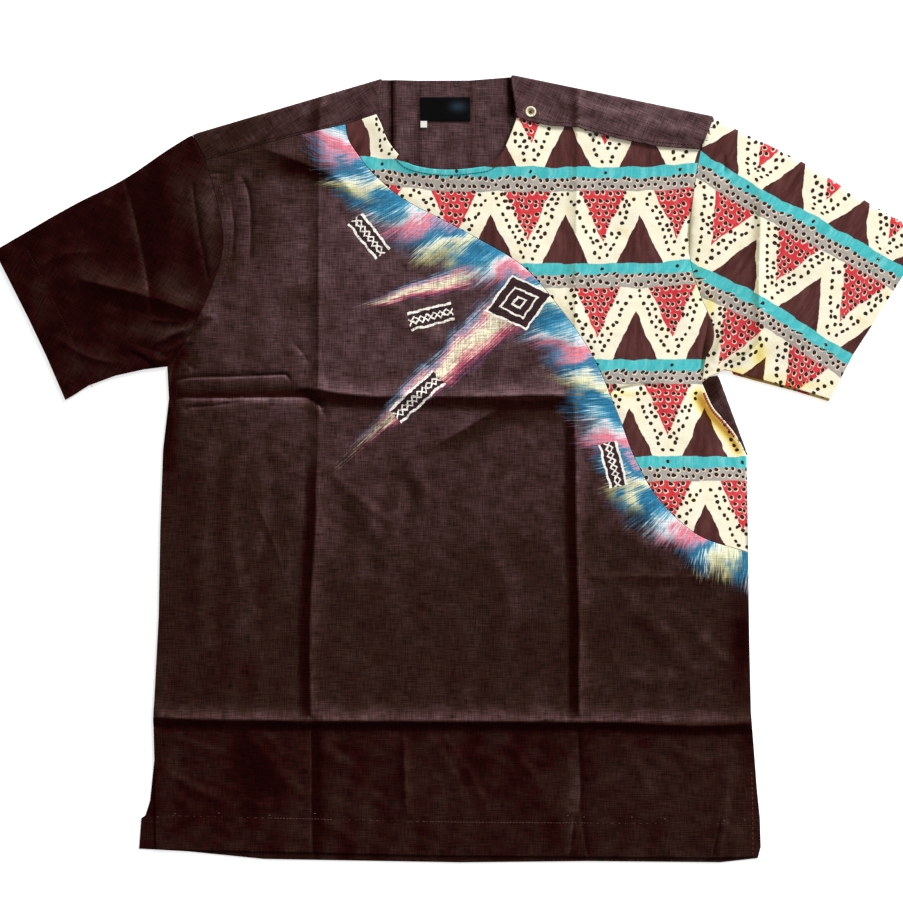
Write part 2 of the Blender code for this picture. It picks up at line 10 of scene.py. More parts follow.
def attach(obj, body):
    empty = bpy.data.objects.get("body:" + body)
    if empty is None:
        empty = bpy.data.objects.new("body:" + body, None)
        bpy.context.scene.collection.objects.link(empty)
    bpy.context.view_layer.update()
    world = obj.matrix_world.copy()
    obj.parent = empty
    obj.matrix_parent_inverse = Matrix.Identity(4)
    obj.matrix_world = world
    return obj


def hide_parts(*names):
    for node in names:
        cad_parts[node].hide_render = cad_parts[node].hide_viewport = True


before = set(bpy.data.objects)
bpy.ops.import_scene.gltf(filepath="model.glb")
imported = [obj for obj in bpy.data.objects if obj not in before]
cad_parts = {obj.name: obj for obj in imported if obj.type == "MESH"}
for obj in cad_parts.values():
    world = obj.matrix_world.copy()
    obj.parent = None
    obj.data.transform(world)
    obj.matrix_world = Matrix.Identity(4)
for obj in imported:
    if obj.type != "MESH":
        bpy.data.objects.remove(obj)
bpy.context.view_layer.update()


# The table that the shirt is laid out on, with its light and camera
# A white acrylic light table, which shines faintly and so shows no shadow round what lies on it. A
# broad low lamp from the upper right draws the creases, and a pale surround fills their shaded sides.
MM = 0.001


def linear(colour):
    """Linear RGBA of an sRGB hex colour."""
    channels = [int(colour[k:k + 2], 16) / 255 for k in (1, 3, 5)]
    return [c / 12.92 if c <= 0.04045 else ((c + 0.055) / 1.055) ** 2.4 for c in channels] + [1.0]


def add(tree, kind, inputs=(), **settings):
    """Adds a shader node. Inputs are numbers, colours, nodes or outputs, in order or by socket."""
    node = tree.nodes.new("ShaderNode" + kind)
    for name, value in settings.items():
        setattr(node, name, value)
    pairs = inputs.items() if isinstance(inputs, dict) else enumerate(inputs)
    for key, value in pairs:
        if isinstance(value, bpy.types.Node):
            value = value.outputs[0]
        if isinstance(value, bpy.types.NodeSocket):
            tree.links.new(value, node.inputs[key])
        elif value is not None:
            node.inputs[key].default_value = value
    return node


def new_material(name):
    """An empty material and its node tree."""
    material = bpy.data.materials.new(name)
    material.use_nodes = True
    material.node_tree.nodes.clear()
    return material, material.node_tree


def surface(tree, colour, roughness, relief=None, strength=0.4, depth=0.1, **sockets):
    """Ends a material in one Principled shader, with a relief of a depth in millimetres."""
    shader = add(tree, "BsdfPrincipled", {"Base Color": colour, "Roughness": roughness})
    for name, value in sockets.items():
        shader.inputs[name.replace("_", " ")].default_value = value
    if relief:
        bump = add(tree, "Bump", {"Height": relief, "Strength": strength, "Distance": depth * MM})
        tree.links.new(bump.outputs[0], shader.inputs["Normal"])
    add(tree, "OutputMaterial", [shader])


BOARD_SIZE = 6000                # mm, wide enough to fill every view
KEY_HEIGHT, KEY_TURN = 22, 55    # degrees above the board, and round from +X towards +Y
KEY_STRENGTH = 5.4
KEY_SOFTNESS = 20                # degrees across
FILL_STRENGTH = 0.42
LENS, SENSOR = 70, 36            # mm
VIEW_X, VIEW_Y = -9.5, 18.5      # mm, below the middle of the picture
VIEW_WIDTH = 903                 # mm across the picture at the cloth
CLOTH_HEIGHT = 3

# cast acrylic, sanded on its upper side: a plain white without a highlight
TABLE_GLOW = 0.5
white_acrylic, tree = new_material("backlit_white_acrylic")
surface(
    tree, linear("#FDFDFC"), 0.9, Specular_IOR_Level=0.1, Emission_Color=(1, 1, 1, 1),
    Emission_Strength=TABLE_GLOW)
bpy.ops.mesh.primitive_plane_add(size=BOARD_SIZE * MM, location=(0, 0, -0.0002))
board = bpy.context.object
board.name = "board"
board.data.materials.append(white_acrylic)

key = bpy.data.objects.new("key", bpy.data.lights.new("key", "SUN"))
key.data.energy = KEY_STRENGTH
key.data.angle = math.radians(KEY_SOFTNESS)
rise, turn = math.radians(KEY_HEIGHT), math.radians(KEY_TURN)
towards_key = Vector((
    math.cos(rise) * math.cos(turn), math.cos(rise) * math.sin(turn), math.sin(rise)))
key.rotation_euler = towards_key.to_track_quat("Z", "Y").to_euler()
bpy.context.scene.collection.objects.link(key)

surround = bpy.data.worlds.new("studio")
surround.use_nodes = True
surround.node_tree.nodes["Background"].inputs["Color"].default_value = (1, 1, 1, 1)
surround.node_tree.nodes["Background"].inputs["Strength"].default_value = FILL_STRENGTH
bpy.context.scene.world = surround
bpy.context.scene.view_settings.view_transform = "Standard"

camera = bpy.data.objects.new("camera", bpy.data.cameras.new("camera"))
camera.data.lens = LENS
camera.data.sensor_width = SENSOR
camera.location = (
    VIEW_X * MM, VIEW_Y * MM, (CLOTH_HEIGHT + VIEW_WIDTH * LENS / SENSOR) * MM)
bpy.context.scene.collection.objects.link(camera)
bpy.context.scene.camera = camera


# Back
# One cut of brown plain-weave cotton. It carries on over both shoulders as straps that are sewn or
# buttoned to the front, and comes round to the front below the right sleeve.
WALL = 1.0
SEAM_GAP = 0.35
SOLID_WALL, LAYER_GAP, LAP_GAP = 1.2, 0.3, 0.6
LOWER_MID = SOLID_WALL / 2
TOP_MID = LOWER_MID + SOLID_WALL + LAYER_GAP
LAP_MID = TOP_MID + SOLID_WALL + LAP_GAP
FOLD_RADIUS = (TOP_MID - LOWER_MID) / 2
LAP_FOLD_RADIUS = (LAP_MID - LOWER_MID) / 2
PUFF, PUFF_REACH = 1.5, 55
NECK_LIFT, NECK_LIFT_REACH = 2.6, 14
GRID = 3.6                       # mesh spacing of the cloth
EDGE_STEP = 3.0
EDGE_ROUND = 0.7                 # edges round off over this width
SEAM_SINK, SEAM_REACH = 0.55, 3.0
CREASE_FADE = 5

LEFT_SHOULDER = (-268.5, 333.2)
LEFT_NECK_POINT = (-79.2, 389)
RIGHT_NECK_POINT = (50, 391.9)
RIGHT_SHOULDER = (252.5, 350.2)
LEFT_STRAP_CORNER = (-256, 308.2)
RIGHT_STRAP_CORNER = (239.5, 318.7)
LEFT_UNDERARM = (-294, 102)
RIGHT_UNDERARM = (241, 86)
SEAM_TOP = (-115.7, 344.2)
SEAM_FOOT = (287.5, -84.3)
WRAP_TOP = (256.2, 93.2)
WRAP_FOOT = (286, 13)
LEFT_ARMHOLE = [
    LEFT_STRAP_CORNER, (-247, 278.5), (-239, 242.5), (-239, 215), (-249, 183), (-261, 154.5),
    (-277, 125.5), LEFT_UNDERARM]
RIGHT_ARMHOLE = [
    RIGHT_STRAP_CORNER, (235.5, 297), (231, 263.5), (228, 228.5), (231, 198.5), (241, 168.5),
    (251.5, 144), (252, 126), (244, 108), RIGHT_UNDERARM]
CURVED_SEAM = [
    SEAM_TOP, (-112.6, 328.9), (-102.3, 312.8), (-87.6, 294.5), (-55.4, 268), (0.8, 238.5),
    (59.4, 204.1), (95, 165), (130.9, 113.5), (156.4, 55), (174.3, 9.1), (197.5, -30.5),
    (235.9, -66), SEAM_FOOT]
FRONT_NECK = [
    (-84.6, 353.8), (-79.7, 344), (-72.3, 326.5), (-59, 310.2), (-49, 303.5), (-28, 299.2),
    (-6, 298.5), (16, 300.7), (27.4, 303.2), (37.7, 311.7), (45, 323.5), (55, 348.5)]
BACK_NECK = [LEFT_NECK_POINT, (-40, 388.3), (8, 388.5), RIGHT_NECK_POINT]
INSERT_SIDE = [
    RIGHT_UNDERARM, (251.5, 62.5), (262.4, 49.5), (273, 36.5), (279.7, 25.5), WRAP_FOOT]
LEFT_STRAP_SEAM = [
    LEFT_STRAP_CORNER, (-226.3, 316.1), (-193, 325.9), (-150, 336.2), SEAM_TOP, (-100.5, 349),
    FRONT_NECK[0]]
RIGHT_STRAP_EDGE = [
    (53.4, 356), (56.5, 350.5), (64, 347.5), (89, 342.5), (117, 340.5), (135, 335), (157, 329.5),
    (195, 321.8), RIGHT_STRAP_CORNER]
BACK_LEFT_SIDE = [
    LEFT_UNDERARM, (-292.3, 70), (-298.2, 18.5), (-301, -59.5), (-302.6, -147.5), (-308, -250.5),
    (-307, -289.5), (-311.4, -332.5), (-316, -347), (-320.2, -350), (-322.5, -380.8)]
BACK_RIGHT_SIDE = [
    WRAP_FOOT, (287.6, -89.5), (289, -178.2), (290.5, -243.2), (293.5, -281.5), (296.4, -320),
    (299.4, -349.5), (300.3, -379), (297.3, -390.2)]
BACK_HEM = [
    (-322.5, -380.8), (-273.2, -383.5), (-197, -391.1), (-1, -394.5), (127, -393.2),
    (259.5, -394.4), (297.3, -390.2)]
LEFT_SLEEVE_UNDER = [
    LEFT_UNDERARM, (-317.5, 99), (-346.2, 92.7), (-373, 82.8), (-389, 72.5), (-396, 68.5)]
LEFT_CUFF = [(-396, 68.5), (-415, 112.5), (-433.5, 151.5), (-466.6, 216.8)]
RIGHT_SLEEVE_UNDER = [
    RIGHT_UNDERARM, (248.5, 92), (256.4, 94.8), (263, 98.5), (271, 97), (292, 91), (336, 79.5),
    (369.5, 69.2)]
RIGHT_CUFF = [(369.5, 69.2), (392.5, 114), (409.4, 140), (439, 187.5), (466.6, 231.5)]
FRONT_HEM = [(-305.5, -380.9), (-21, -387.3), (247.7, -389.4), (293.5, -388.5)]
HEM_DEPTH, CUFF_DEPTH = 34, 30

# Creases: height of the crest, its reach to the left and right of the way it runs, its course as x, y
# and share of the height, and how much painted light lies on its lit side. Below zero the crease is a furrow.
Crease = namedtuple("Crease", "height left right course light", defaults=[0.5])
PRESSED = [
    Crease(4.3, 18, 13, [
        (-137, 379, .2), (-141, 348, .4), (-142, 268, .2), (-142, 188, .3), (-142, 128, .25),
        (-142, 70, .35), (-142.5, 40, .2), (-142.5, 14, .3), (-144, -12, .7), (-144.5, -52, .9),
        (-147, -92, 1), (-149.5, -132, 1),
        (-150.5, -192, 1), (-149.7, -238, .9), (-150, -250, .2)], .24),
    Crease(-4.2, 13, 4, [(-150, -254, .5), (-149, -290, 1), (-149, -330, .9), (-148.5, -389, 1)]),
    Crease(4.3, 16, 12, [
        (117, 373, .1), (116, 250, .15), (114, 92, .2), (113, 60, .7), (114.5, 18, .9),
        (115, -32, 1), (116, -92, 1), (118, -152, 1), (117.5, -212, 1), (118, -240, .9),
        (117.5, -250, .2)], .26),
    Crease(-2.2, 6, 14, [
        (117, -256, .3), (118.5, -290, .8), (119.5, -312, 1), (119, -342, 1), (118, -347, .4)]),
    Crease(-2.6, 4, 5, [(114, -345, .2), (112, -360, .8), (109, -389, 1)]),
    Crease(-2.6, 6, 4, [(120, -344, .3), (124, -374, 1), (127, -389, 1)]),
    Crease(4.6, 17, 12, [
        (-308, -247.5, .8), (-267, -249.5, .95), (-197, -250.5, 1), (-151, -251, 1),
        (79, -252, 1), (117, -252.5, .9), (160, -252.5, 1), (198, -255, .95), (239, -256, .95),
        (292, -255, .8)], .3),
    Crease(4.1, 20, 15, [
        (-166, 81, .1), (-152, 80.5, .6), (-139, 78.5, 1), (-121, 75.5, 1), (-81, 72, .8),
        (-41, 74, 1), (-11, 72, .6), (39, 72.5, .9), (79, 73.5, 1), (104, 72.5, 1), (120, 73, .3)])]
SMALL = [
    Crease(0.8, 1.6, 1.8, [
        (-141, 348, .6), (-142, 268, 1), (-142, 188, 1), (-142, 128, .8), (-142, 92, .6)]),
    Crease(0.6, 1.6, 1.8, [(116, 352, .5), (115, 250, .8), (114, 160, .8), (113, 92, .6)]),
    Crease(-3.6, 4, 3.5, [
        (-287, 87, 1), (-271, 90.8, 1), (-231, 92, .9), (-191, 93.5, 1), (-174, 93.5, .9),
        (-170, 86, .3)]),
    Crease(-2.2, 19, 4, [
        (-287, 70, .6), (-240, 71, .9), (-191, 71.5, 1), (-161, 71.5, 1), (-148, 70, .5)]),
    Crease(-3.4, 9, 4.5, [
        (-287, 69, .6), (-275, 70.8, .7), (-240, 70.5, .9), (-191, 71, 1), (-161, 71, 1),
        (-148, 68, .9), (-139, 60, .6), (-137, 50, .2)]),
    Crease(1.6, 6, 27, [(10, 72, .2), (40, 69, .9), (62, 68, 1), (92, 69, .8), (112, 71, .3)]),
    Crease(-2.0, 3, 4, [(-275, 61, .9), (-250, 63, .9), (-219, 67, .4)]),
    Crease(-1.2, 4, 4, [(-287, 76, 1), (-281, 66, .9), (-271, 54, .5)]),
    Crease(-1.6, 6, 5, [(-283, 122, .4), (-278, 108, 1), (-262, 96, .6)]),
    Crease(-2.2, 9, 3, [(-270, 128, .3), (-284, 112, 1), (-290, 84, .9), (-286, 50, .3)]),
    Crease(-1.3, 4, 3, [(-262, 118, .3), (-274, 104, 1), (-284, 92, .6)]),
    Crease(1.4, 10, 6, [(116, 381, .7), (116.5, 338, .9)]),
    Crease(1.7, 4, 6, [(-57, -262, .4), (-57, -280, 1), (-56, -310, 1), (-55, -346, .6)]),
    Crease(-0.9, 4, 5, [(-167, 125.5, .8), (-158, 115, .9), (-151, 103.5, .5)]),
    Crease(1.1, 5, 12, [(118, -107, .2), (180, -107.5, .9), (250, -108.5, .8), (286, -110, .5)]),
    Crease(0.8, 5, 7, [(-209, -22.5, .3), (-192, -62, 1), (-180, -95, .8), (-177, -118, .3)]),
    Crease(0.7, 5, 8, [(-177, -49, .4), (-173, -80, .8), (-174, -117, .4)]),
    Crease(0.7, 8, 8, [(-135, -1.5, .3), (-98, -33, 1), (-61, -65, .3)]),
    Crease(1.8, 18, 20, [(-32, 20, .2), (0, 38, .9), (34, 58, .7), (60, 66, .1)]),
    Crease(1.2, 14, 18, [(150, -118, .2), (188, -152, 1), (226, -196, .3)]),
    Crease(0.9, 12, 16, [(222, -150, .2), (250, -180, 1), (284, -214, .4)]),
    Crease(1.24, 14, 26, [(-222, -262, .6), (-196, -290, 1), (-178, -310, .9), (-160, -332, .4)]),
    Crease(1.0, 8, 10, [(-207, -258, .3), (-190, -272, 1), (-178, -292, .4)]),
    Crease(1.1, 8, 12, [(-56, -268, .3), (-56, -306, 1), (-53, -350, .4)]),
    Crease(1.2, 9, 12, [(268, -300, .3), (263, -336, .8), (256, -388, 1)]),
    Crease(-2.3, 4, 4, [(262, -340, .3), (251, -389, 1)]),
    Crease(-1.8, 3, 3, [(120, 73, .3), (146, 76.5, 1), (182, 83, 1), (206, 78, .4)]),
    Crease(-1.8, 6, 9, [(-222, 296, .3), (-213, 278, .8), (-210, 250, 1), (-211, 206, .3)]),
    Crease(-1.4, 5, 3, [(-231, 272, .3), (-227, 240, 1), (-230, 206, .3)]),
    Crease(2.6, 12, 13, [(-200, 321, .3), (-160, 306, 1), (-122, 289, .9), (-106, 272, .3)]),
    Crease(0.7, 4, 6, [(-178, 269.5, .3), (-160, 269.8, 1), (-141, 269.5, .3)]),
    Crease(-1.1, 3, 4, [(-254, 295.5, 1), (-242, 295, .8), (-230, 293.5, .3)]),
    Crease(-3.4, 5.5, 2, [(247.5, 152, .3), (243.5, 130, 1), (240, 109.5, 1), (238.5, 90, .7)]),
    Crease(-3.4, 5, 3, [(229, 270, .3), (226.5, 240, 1), (227, 210, .3)]),
    Crease(1.6, 3, 4, [(250, 80, .6), (259, 75, 1), (268, 68, .7)]),
    Crease(1.4, 3, 4, [(253, 68, .5), (263, 62, 1), (274, 52, .6)]),
    Crease(0.8, 18, 16, [(-266, 34, .3), (-256, -40, .8), (-264, -120, 1), (-250, -214, .5)]),
    Crease(1.0, 13, 19, [(-222, 16, .2), (-233, -56, .9), (-221, -140, .6), (-234, -236, .3)]),
    Crease(-0.8, 11, 13, [(-199, 34, .3), (-188, -26, .8), (-203, -120, .8), (-190, -226, .3)]),
    Crease(0.8, 14, 16, [(-112, -20, .3), (-84, -70, .8), (-70, -140, .4)]),
    Crease(-0.9, 11, 12, [(-66, -2, .3), (-52, -24, .9), (-58, -60, .3)]),
    Crease(0.9, 11, 12, [(-50, 2, .3), (-38, -22, .9), (-40, -52, .3)]),
    Crease(0.7, 16, 18, [(20, -60, .3), (46, -120, .8), (40, -190, .3)]),
    Crease(0.8, 16, 18, [(-100, 190, .3), (-60, 150, .8), (-20, 128, .4)]),
    Crease(0.7, 12, 16, [(140, -30, .3), (170, -70, .8), (214, -92, .4)]),
    Crease(0.9, 14, 14, [(150, -196, .3), (190, -214, .9), (250, -206, .4)]),
    Crease(1.0, 9, 12, [(-40, -262, .3), (-12, -296, .9), (4, -340, .3)]),
    Crease(0.9, 8, 10, [(-22, -262, .3), (10, -310, .9), (26, -352, .3)]),
    Crease(0.8, 12, 12, [(150, -262, .3), (176, -300, .9), (196, -350, .3)]),
    Crease(1.2, 9, 8, [(-300, -300, .4), (-266, -320, 1), (-236, -336, .3)]),
    Crease(0.9, 9, 9, [(-292, -262, .3), (-268, -276, 1), (-240, -288, .3)]),
    Crease(1.1, 8, 9, [(-232, -318, .3), (-208, -334, 1), (-176, -342, .3)]),
    Crease(1.0, 12, 12, [(-146, -266, .3), (-128, -290, 1), (-92, -312, .3)]),
    Crease(0.8, 10, 10, [(-136, -352, .3), (-118, -366, 1), (-100, -382, .3)]),
    Crease(0.8, 9, 9, [(40, -268, .3), (66, -300, 1), (84, -336, .3)]),
    Crease(0.8, 10, 12, [(202, -274, .3), (232, -292, 1), (266, -288, .3)]),
    Crease(0.8, 8, 10, [(-250, 320, .3), (-222, 318, .8), (-196, 336, .3)]),
    Crease(0.8, 8, 12, [(-170, 352, .3), (-150, 356, .8), (-120, 372, .3)]),
    Crease(0.9, 9, 12, [(96, 372, .3), (140, 356, .9), (190, 352, .3)]),
    Crease(0.8, 8, 10, [(180, 346, .3), (210, 338, .8), (236, 336, .3)])]
SLEEVE = [
    Crease(4.2, 18, 19, [(-386, 190, .2), (-352, 182, 1), (-306, 170, .9), (-262, 155, .5)], .4),
    Crease(-3.4, 20, 5, [(-336, 290.5, .7), (-323, 236, 1), (-314, 190, .9), (-309, 150, .4)]),
    Crease(-2.2, 5, 4, [(-269, 290, .4), (-266, 262, .9), (-260, 225.5, 1), (-252, 186, .5)]),
    Crease(2.6, 7, 8, [(-308, 123, .4), (-288, 134, 1), (-266, 143, .6)]),
    Crease(2.2, 5, 6, [(-300, 116, .4), (-286, 121, 1), (-270, 130, .5)]),
    Crease(2.0, 5, 5, [(-312, 112, .3), (-298, 108, 1), (-280, 118, .6)]),
    Crease(-2.0, 5, 3, [(-334, 116, .4), (-318, 110, 1), (-304, 98, .6)]),
    Crease(-1.8, 4, 3, [(-326, 124, .3), (-306, 118, 1), (-290, 108, .6)]),
    Crease(1.6, 7, 8, [(-316, 150, .3), (-300, 148, 1), (-276, 146, .5)]),
    Crease(1.8, 9, 9, [(-406, 130, .3), (-372, 112, 1), (-340, 104, .5)]),
    Crease(1.4, 10, 12, [(-430, 196, .2), (-396, 214, 1), (-360, 216, .3)]),
    Crease(1.4, 6, 9, [(-332, 124, .3), (-316, 114, 1), (-300, 102, .5)]),
    Crease(1.1, 8, 10, [(-306, 128, .3), (-305, 100, .7), (-306, 90, .5)]),
    Crease(1.4, 10, 9, [(300, 282, .3), (299, 232, .9), (298, 180, .9), (299, 120, .3)]),
    Crease(-2.2, 3, 3, [(263, 316, .5), (263.5, 302, 1), (262.5, 290, .4)]),
    Crease(1.5, 9, 9, [(300, 128, .2), (285, 112, .9), (268, 103, .5)]),
    Crease(1.2, 8, 9, [(272, 150, .3), (262, 128, .9), (252, 104, .5)])]
# dents: x, y, reach in x and y, and depth; each is also painted darker by its depth, as painted shade
DENTS = [
    (-283, 110, 11, 11, 2.2), (-284, 82, 8, 8, 1.2), (-58, -10, 9, 9, 0.7), (-20, 62, 16, 16, 0.6),
    (246, 118, 9, 9, 1.2), (-229, 240, 5, 5, 1.0), (-230, 230, 4, 4, 1.2), (-229, 219, 5, 5, 1.3),
    (-230, 209, 4, 4, 1.2), (-231, 197, 5, 5, 0.9)]


def spline(marks, step=EDGE_STEP):
    """Points on a smooth curve through the marks, about one step apart."""
    marks = np.array(marks, float)
    padded = np.vstack([2 * marks[0] - marks[1], marks, 2 * marks[-1] - marks[-2]])
    points = []
    for before, a, b, after in zip(padded, padded[1:], padded[2:], padded[3:]):
        spans = max(1, round(math.hypot(*(b - a)[:2]) / step))
        t = np.arange(spans)[:, None] / spans
        bend = (2 * before - 5 * a + 4 * b - after) * t ** 2
        twist = (3 * a - before - 3 * b + after) * t ** 3
        points.append(0.5 * (2 * a + (b - before) * t + bend + twist))
    return np.vstack(points + [marks[-1:]])


def straight(marks, step=EDGE_STEP):
    """Points on straight runs between the marks."""
    marks = np.array(marks, float)
    points = []
    for a, b in zip(marks, marks[1:]):
        spans = max(1, round(math.hypot(*(b - a)) / step))
        points.append(a + (b - a) * np.arange(spans)[:, None] / spans)
    return np.vstack(points + [marks[-1:]])


def closed(*runs):
    """Joins runs of points into one closed outline, without the points that runs share."""
    points = np.vstack(runs)
    gaps = np.hypot(*(points - np.roll(points, 1, axis=0)).T)
    return points[gaps > 0.05]


def drawn_in(outline, distance):
    """The closed outline moved in by a distance, mitred at its corners."""
    into = outline - np.roll(outline, 1, axis=0)
    into /= np.hypot(*into.T)[:, None]
    away = np.roll(into, -1, axis=0)
    area = np.sum(outline[:, 0] * np.roll(outline[:, 1], -1) - np.roll(outline[:, 0], -1) * outline[:, 1])
    side = np.stack([-into[:, 1] - away[:, 1], into[:, 0] + away[:, 0]], axis=1)
    side /= np.maximum(np.hypot(*side.T), 1e-6)[:, None]
    mitre = np.maximum(0.5, np.abs(side[:, 0] * -into[:, 1] + side[:, 1] * into[:, 0]))
    return outline + side * (math.copysign(distance, area) / mitre)[:, None]


def nearest(points, line):
    """Distance to a line of points, the way along it as a knot number, and the side: 1 is left."""
    away = np.full(len(points), np.inf)
    knot = np.zeros(len(points))
    side = np.ones(len(points))
    for k, (a, b) in enumerate(zip(line[:-1, :2], line[1:, :2])):
        run = b - a
        offset = points - a
        share = np.clip(offset @ run / (run @ run), 0, 1)
        off = np.hypot(*(offset - share[:, None] * run).T)
        closer = off < away
        away[closer] = off[closer]
        knot[closer] = k + share[closer]
        side[closer] = np.sign(run[0] * offset[closer, 1] - run[1] * offset[closer, 0])
    return away, knot, side


def within(points, outline):
    """Which points lie inside a closed outline."""
    inside = np.zeros(len(points), bool)
    x, y = points.T
    for a, b in zip(outline, np.roll(outline, -1, axis=0)):
        if a[1] != b[1]:
            crosses = (a[1] > y) != (b[1] > y)
            inside ^= crosses & (x < (b[0] - a[0]) * (y - a[1]) / (b[1] - a[1]) + a[0])
    return inside


def eased(share):
    """Eased step from 0 to 1."""
    share = np.clip(share, 0, 1)
    return share * share * (3 - 2 * share)


def patches(points, spots):
    """Sum of soft round patches, each given as x, y, its reach in x and y, and its change."""
    total = np.zeros(len(points))
    for x, y, reach_x, reach_y, change in spots:
        off = ((points[:, 0] - x) / reach_x) ** 2 + ((points[:, 1] - y) / reach_y) ** 2
        total += change * np.exp(-off)
    return total


def ripple(points, wavelength, seed, waves=9):
    """Gentle uneven waves of about one wavelength, between about -1 and 1."""
    draw = np.random.default_rng(seed)
    total = np.zeros(len(points))
    for heading, stretch, phase in draw.uniform(size=(waves, 3)):
        length = wavelength * (0.7 + 0.8 * stretch)
        heading *= 2 * math.pi
        across = points[:, 0] * math.cos(heading) + points[:, 1] * math.sin(heading)
        total += np.sin(2 * math.pi * (across / length + phase))
    return total / math.sqrt(waves)


SILHOUETTE = closed(
    straight(LEFT_CUFF[::-1], 20), straight(LEFT_SLEEVE_UNDER[::-1], 20),
    straight(BACK_LEFT_SIDE, 20), straight(BACK_HEM, 20), straight(BACK_RIGHT_SIDE[::-1], 20),
    np.array([WRAP_TOP]), straight(RIGHT_SLEEVE_UNDER[3:], 20), straight(RIGHT_CUFF, 20),
    np.array([RIGHT_SHOULDER, RIGHT_NECK_POINT, LEFT_NECK_POINT, LEFT_SHOULDER]))
NECK_LINE = spline(FRONT_NECK)
HEM_STITCHES = straight(FRONT_HEM, 12) + (0, HEM_DEPTH)
SEAMS = [
    spline(CURVED_SEAM), spline(LEFT_ARMHOLE), spline(RIGHT_ARMHOLE), straight(LEFT_STRAP_SEAM)]


def beside(line, distance):
    """A line moved sideways, to its left."""
    run = np.gradient(line, axis=0)
    run /= np.hypot(*run.T)[:, None]
    return line + np.stack([-run[:, 1], run[:, 0]], axis=1) * distance


LEFT_CUFF_STITCHES = beside(straight(LEFT_CUFF, 12), -CUFF_DEPTH)
RIGHT_CUFF_STITCHES = beside(straight(RIGHT_CUFF, 12), CUFF_DEPTH)
SOFT_BELOW, SOFT_REACH = 1.25, 6  # creases lower than this, if broader than this, are soft waves
END_FADE = 6                     # creases fade in over this length
CREST_BLUNT = 0.8                # no painted light or shade nearer the crest than this
SOFT_SHADE, DARK_SIDE, FURROW_SIDE = 3.4, 1.3, 1.2   # how strongly a crease's sides are painted light or dark
FULL_SHADE_REACH = 9
COURSES = [(crease, spline(crease.course, 8)) for crease in PRESSED + SMALL + SLEEVE]


def crease_form(points):
    """Height of the creases, and their painted light and shade, by how far their sides turn to the light or
    away from it.
    """
    height = np.zeros(len(points))
    painted_light_and_shade = np.zeros(len(points))
    for crease, course in COURSES:
        reach = max(crease.left, crease.right)
        low, high = course[:, :2].min(axis=0) - reach, course[:, :2].max(axis=0) + reach
        near = np.all((points > low) & (points < high), axis=1)
        if not near.any():
            continue
        away, knot, side = nearest(points[near], course)
        strength = crease.height * np.interp(knot, np.arange(len(course)), course[:, 2])
        off = np.clip(away / np.where(side > 0, crease.left, crease.right), 0, 1)
        ends = np.array([course[0, :2], course[-1, :2]])
        past = np.minimum(*[np.hypot(*(points[near] - end).T) for end in ends]) / END_FADE
        strength = strength * eased(past)
        if abs(crease.height) < SOFT_BELOW and min(crease.left, crease.right) > SOFT_REACH:
            height[near] += strength * (1 - off * off) ** 2
            shade = SOFT_SHADE * side * off * (1 - off * off) ** 2
        else:
            height[near] += strength * np.where(side > 0, (1 - off) ** 2, (1 - off) ** 1.4)
            if crease.height > 0:
                lit = crease.light * (1 - off) ** 1.5
                shade = np.where(side > 0, lit, -DARK_SIDE * (1 - off ** 3))
                shade *= min(1, reach / FULL_SHADE_REACH)
            else:
                shade = np.where(side > 0, FURROW_SIDE, -DARK_SIDE) * (1 - off)
            shade *= eased(away / CREST_BLUNT)
        painted_light_and_shade[near] += strength * shade
    # dents sink the cloth and are painted darker, as painted shade
    dents = patches(points, DENTS)
    return height - dents, painted_light_and_shade - dents


def stitched(points, line, sink=0.45, reach=3):
    """Shallow groove along a line of stitches, puckered every few stitches."""
    away, knot, _ = nearest(points, line)
    return -sink * np.clip(1 - away / reach, 0, 1) * (1 + 0.35 * np.sin(knot * 11))


SOFT_WAVES = ((0.3, 70, 3), (0.13, 27, 5), (0.04, 12, 8))    # height, wavelength, seed


def top_level(points):
    """Height of the middle of the upper layer over points of the plan."""
    inside = nearest(points, np.vstack([SILHOUETTE, SILHOUETTE[:1]]))[0]
    creases, _ = crease_form(points)
    rows = sum(
        stitched(points, line) for line in (HEM_STITCHES, LEFT_CUFF_STITCHES, RIGHT_CUFF_STITCHES))
    for seam in SEAMS:
        rows -= SEAM_SINK * np.exp(-(nearest(points, seam)[0] / SEAM_REACH) ** 2)
    waves = sum(height * ripple(points, length, seed) for height, length, seed in SOFT_WAVES)
    puff = PUFF * eased(inside / PUFF_REACH)
    form = (creases + rows + waves * eased(inside / 30)) * eased(inside / CREASE_FADE + 0.25)
    lift = NECK_LIFT * np.exp(-(nearest(points, NECK_LINE)[0] / NECK_LIFT_REACH) ** 2)
    return TOP_MID + np.maximum(0, puff + form) + lift


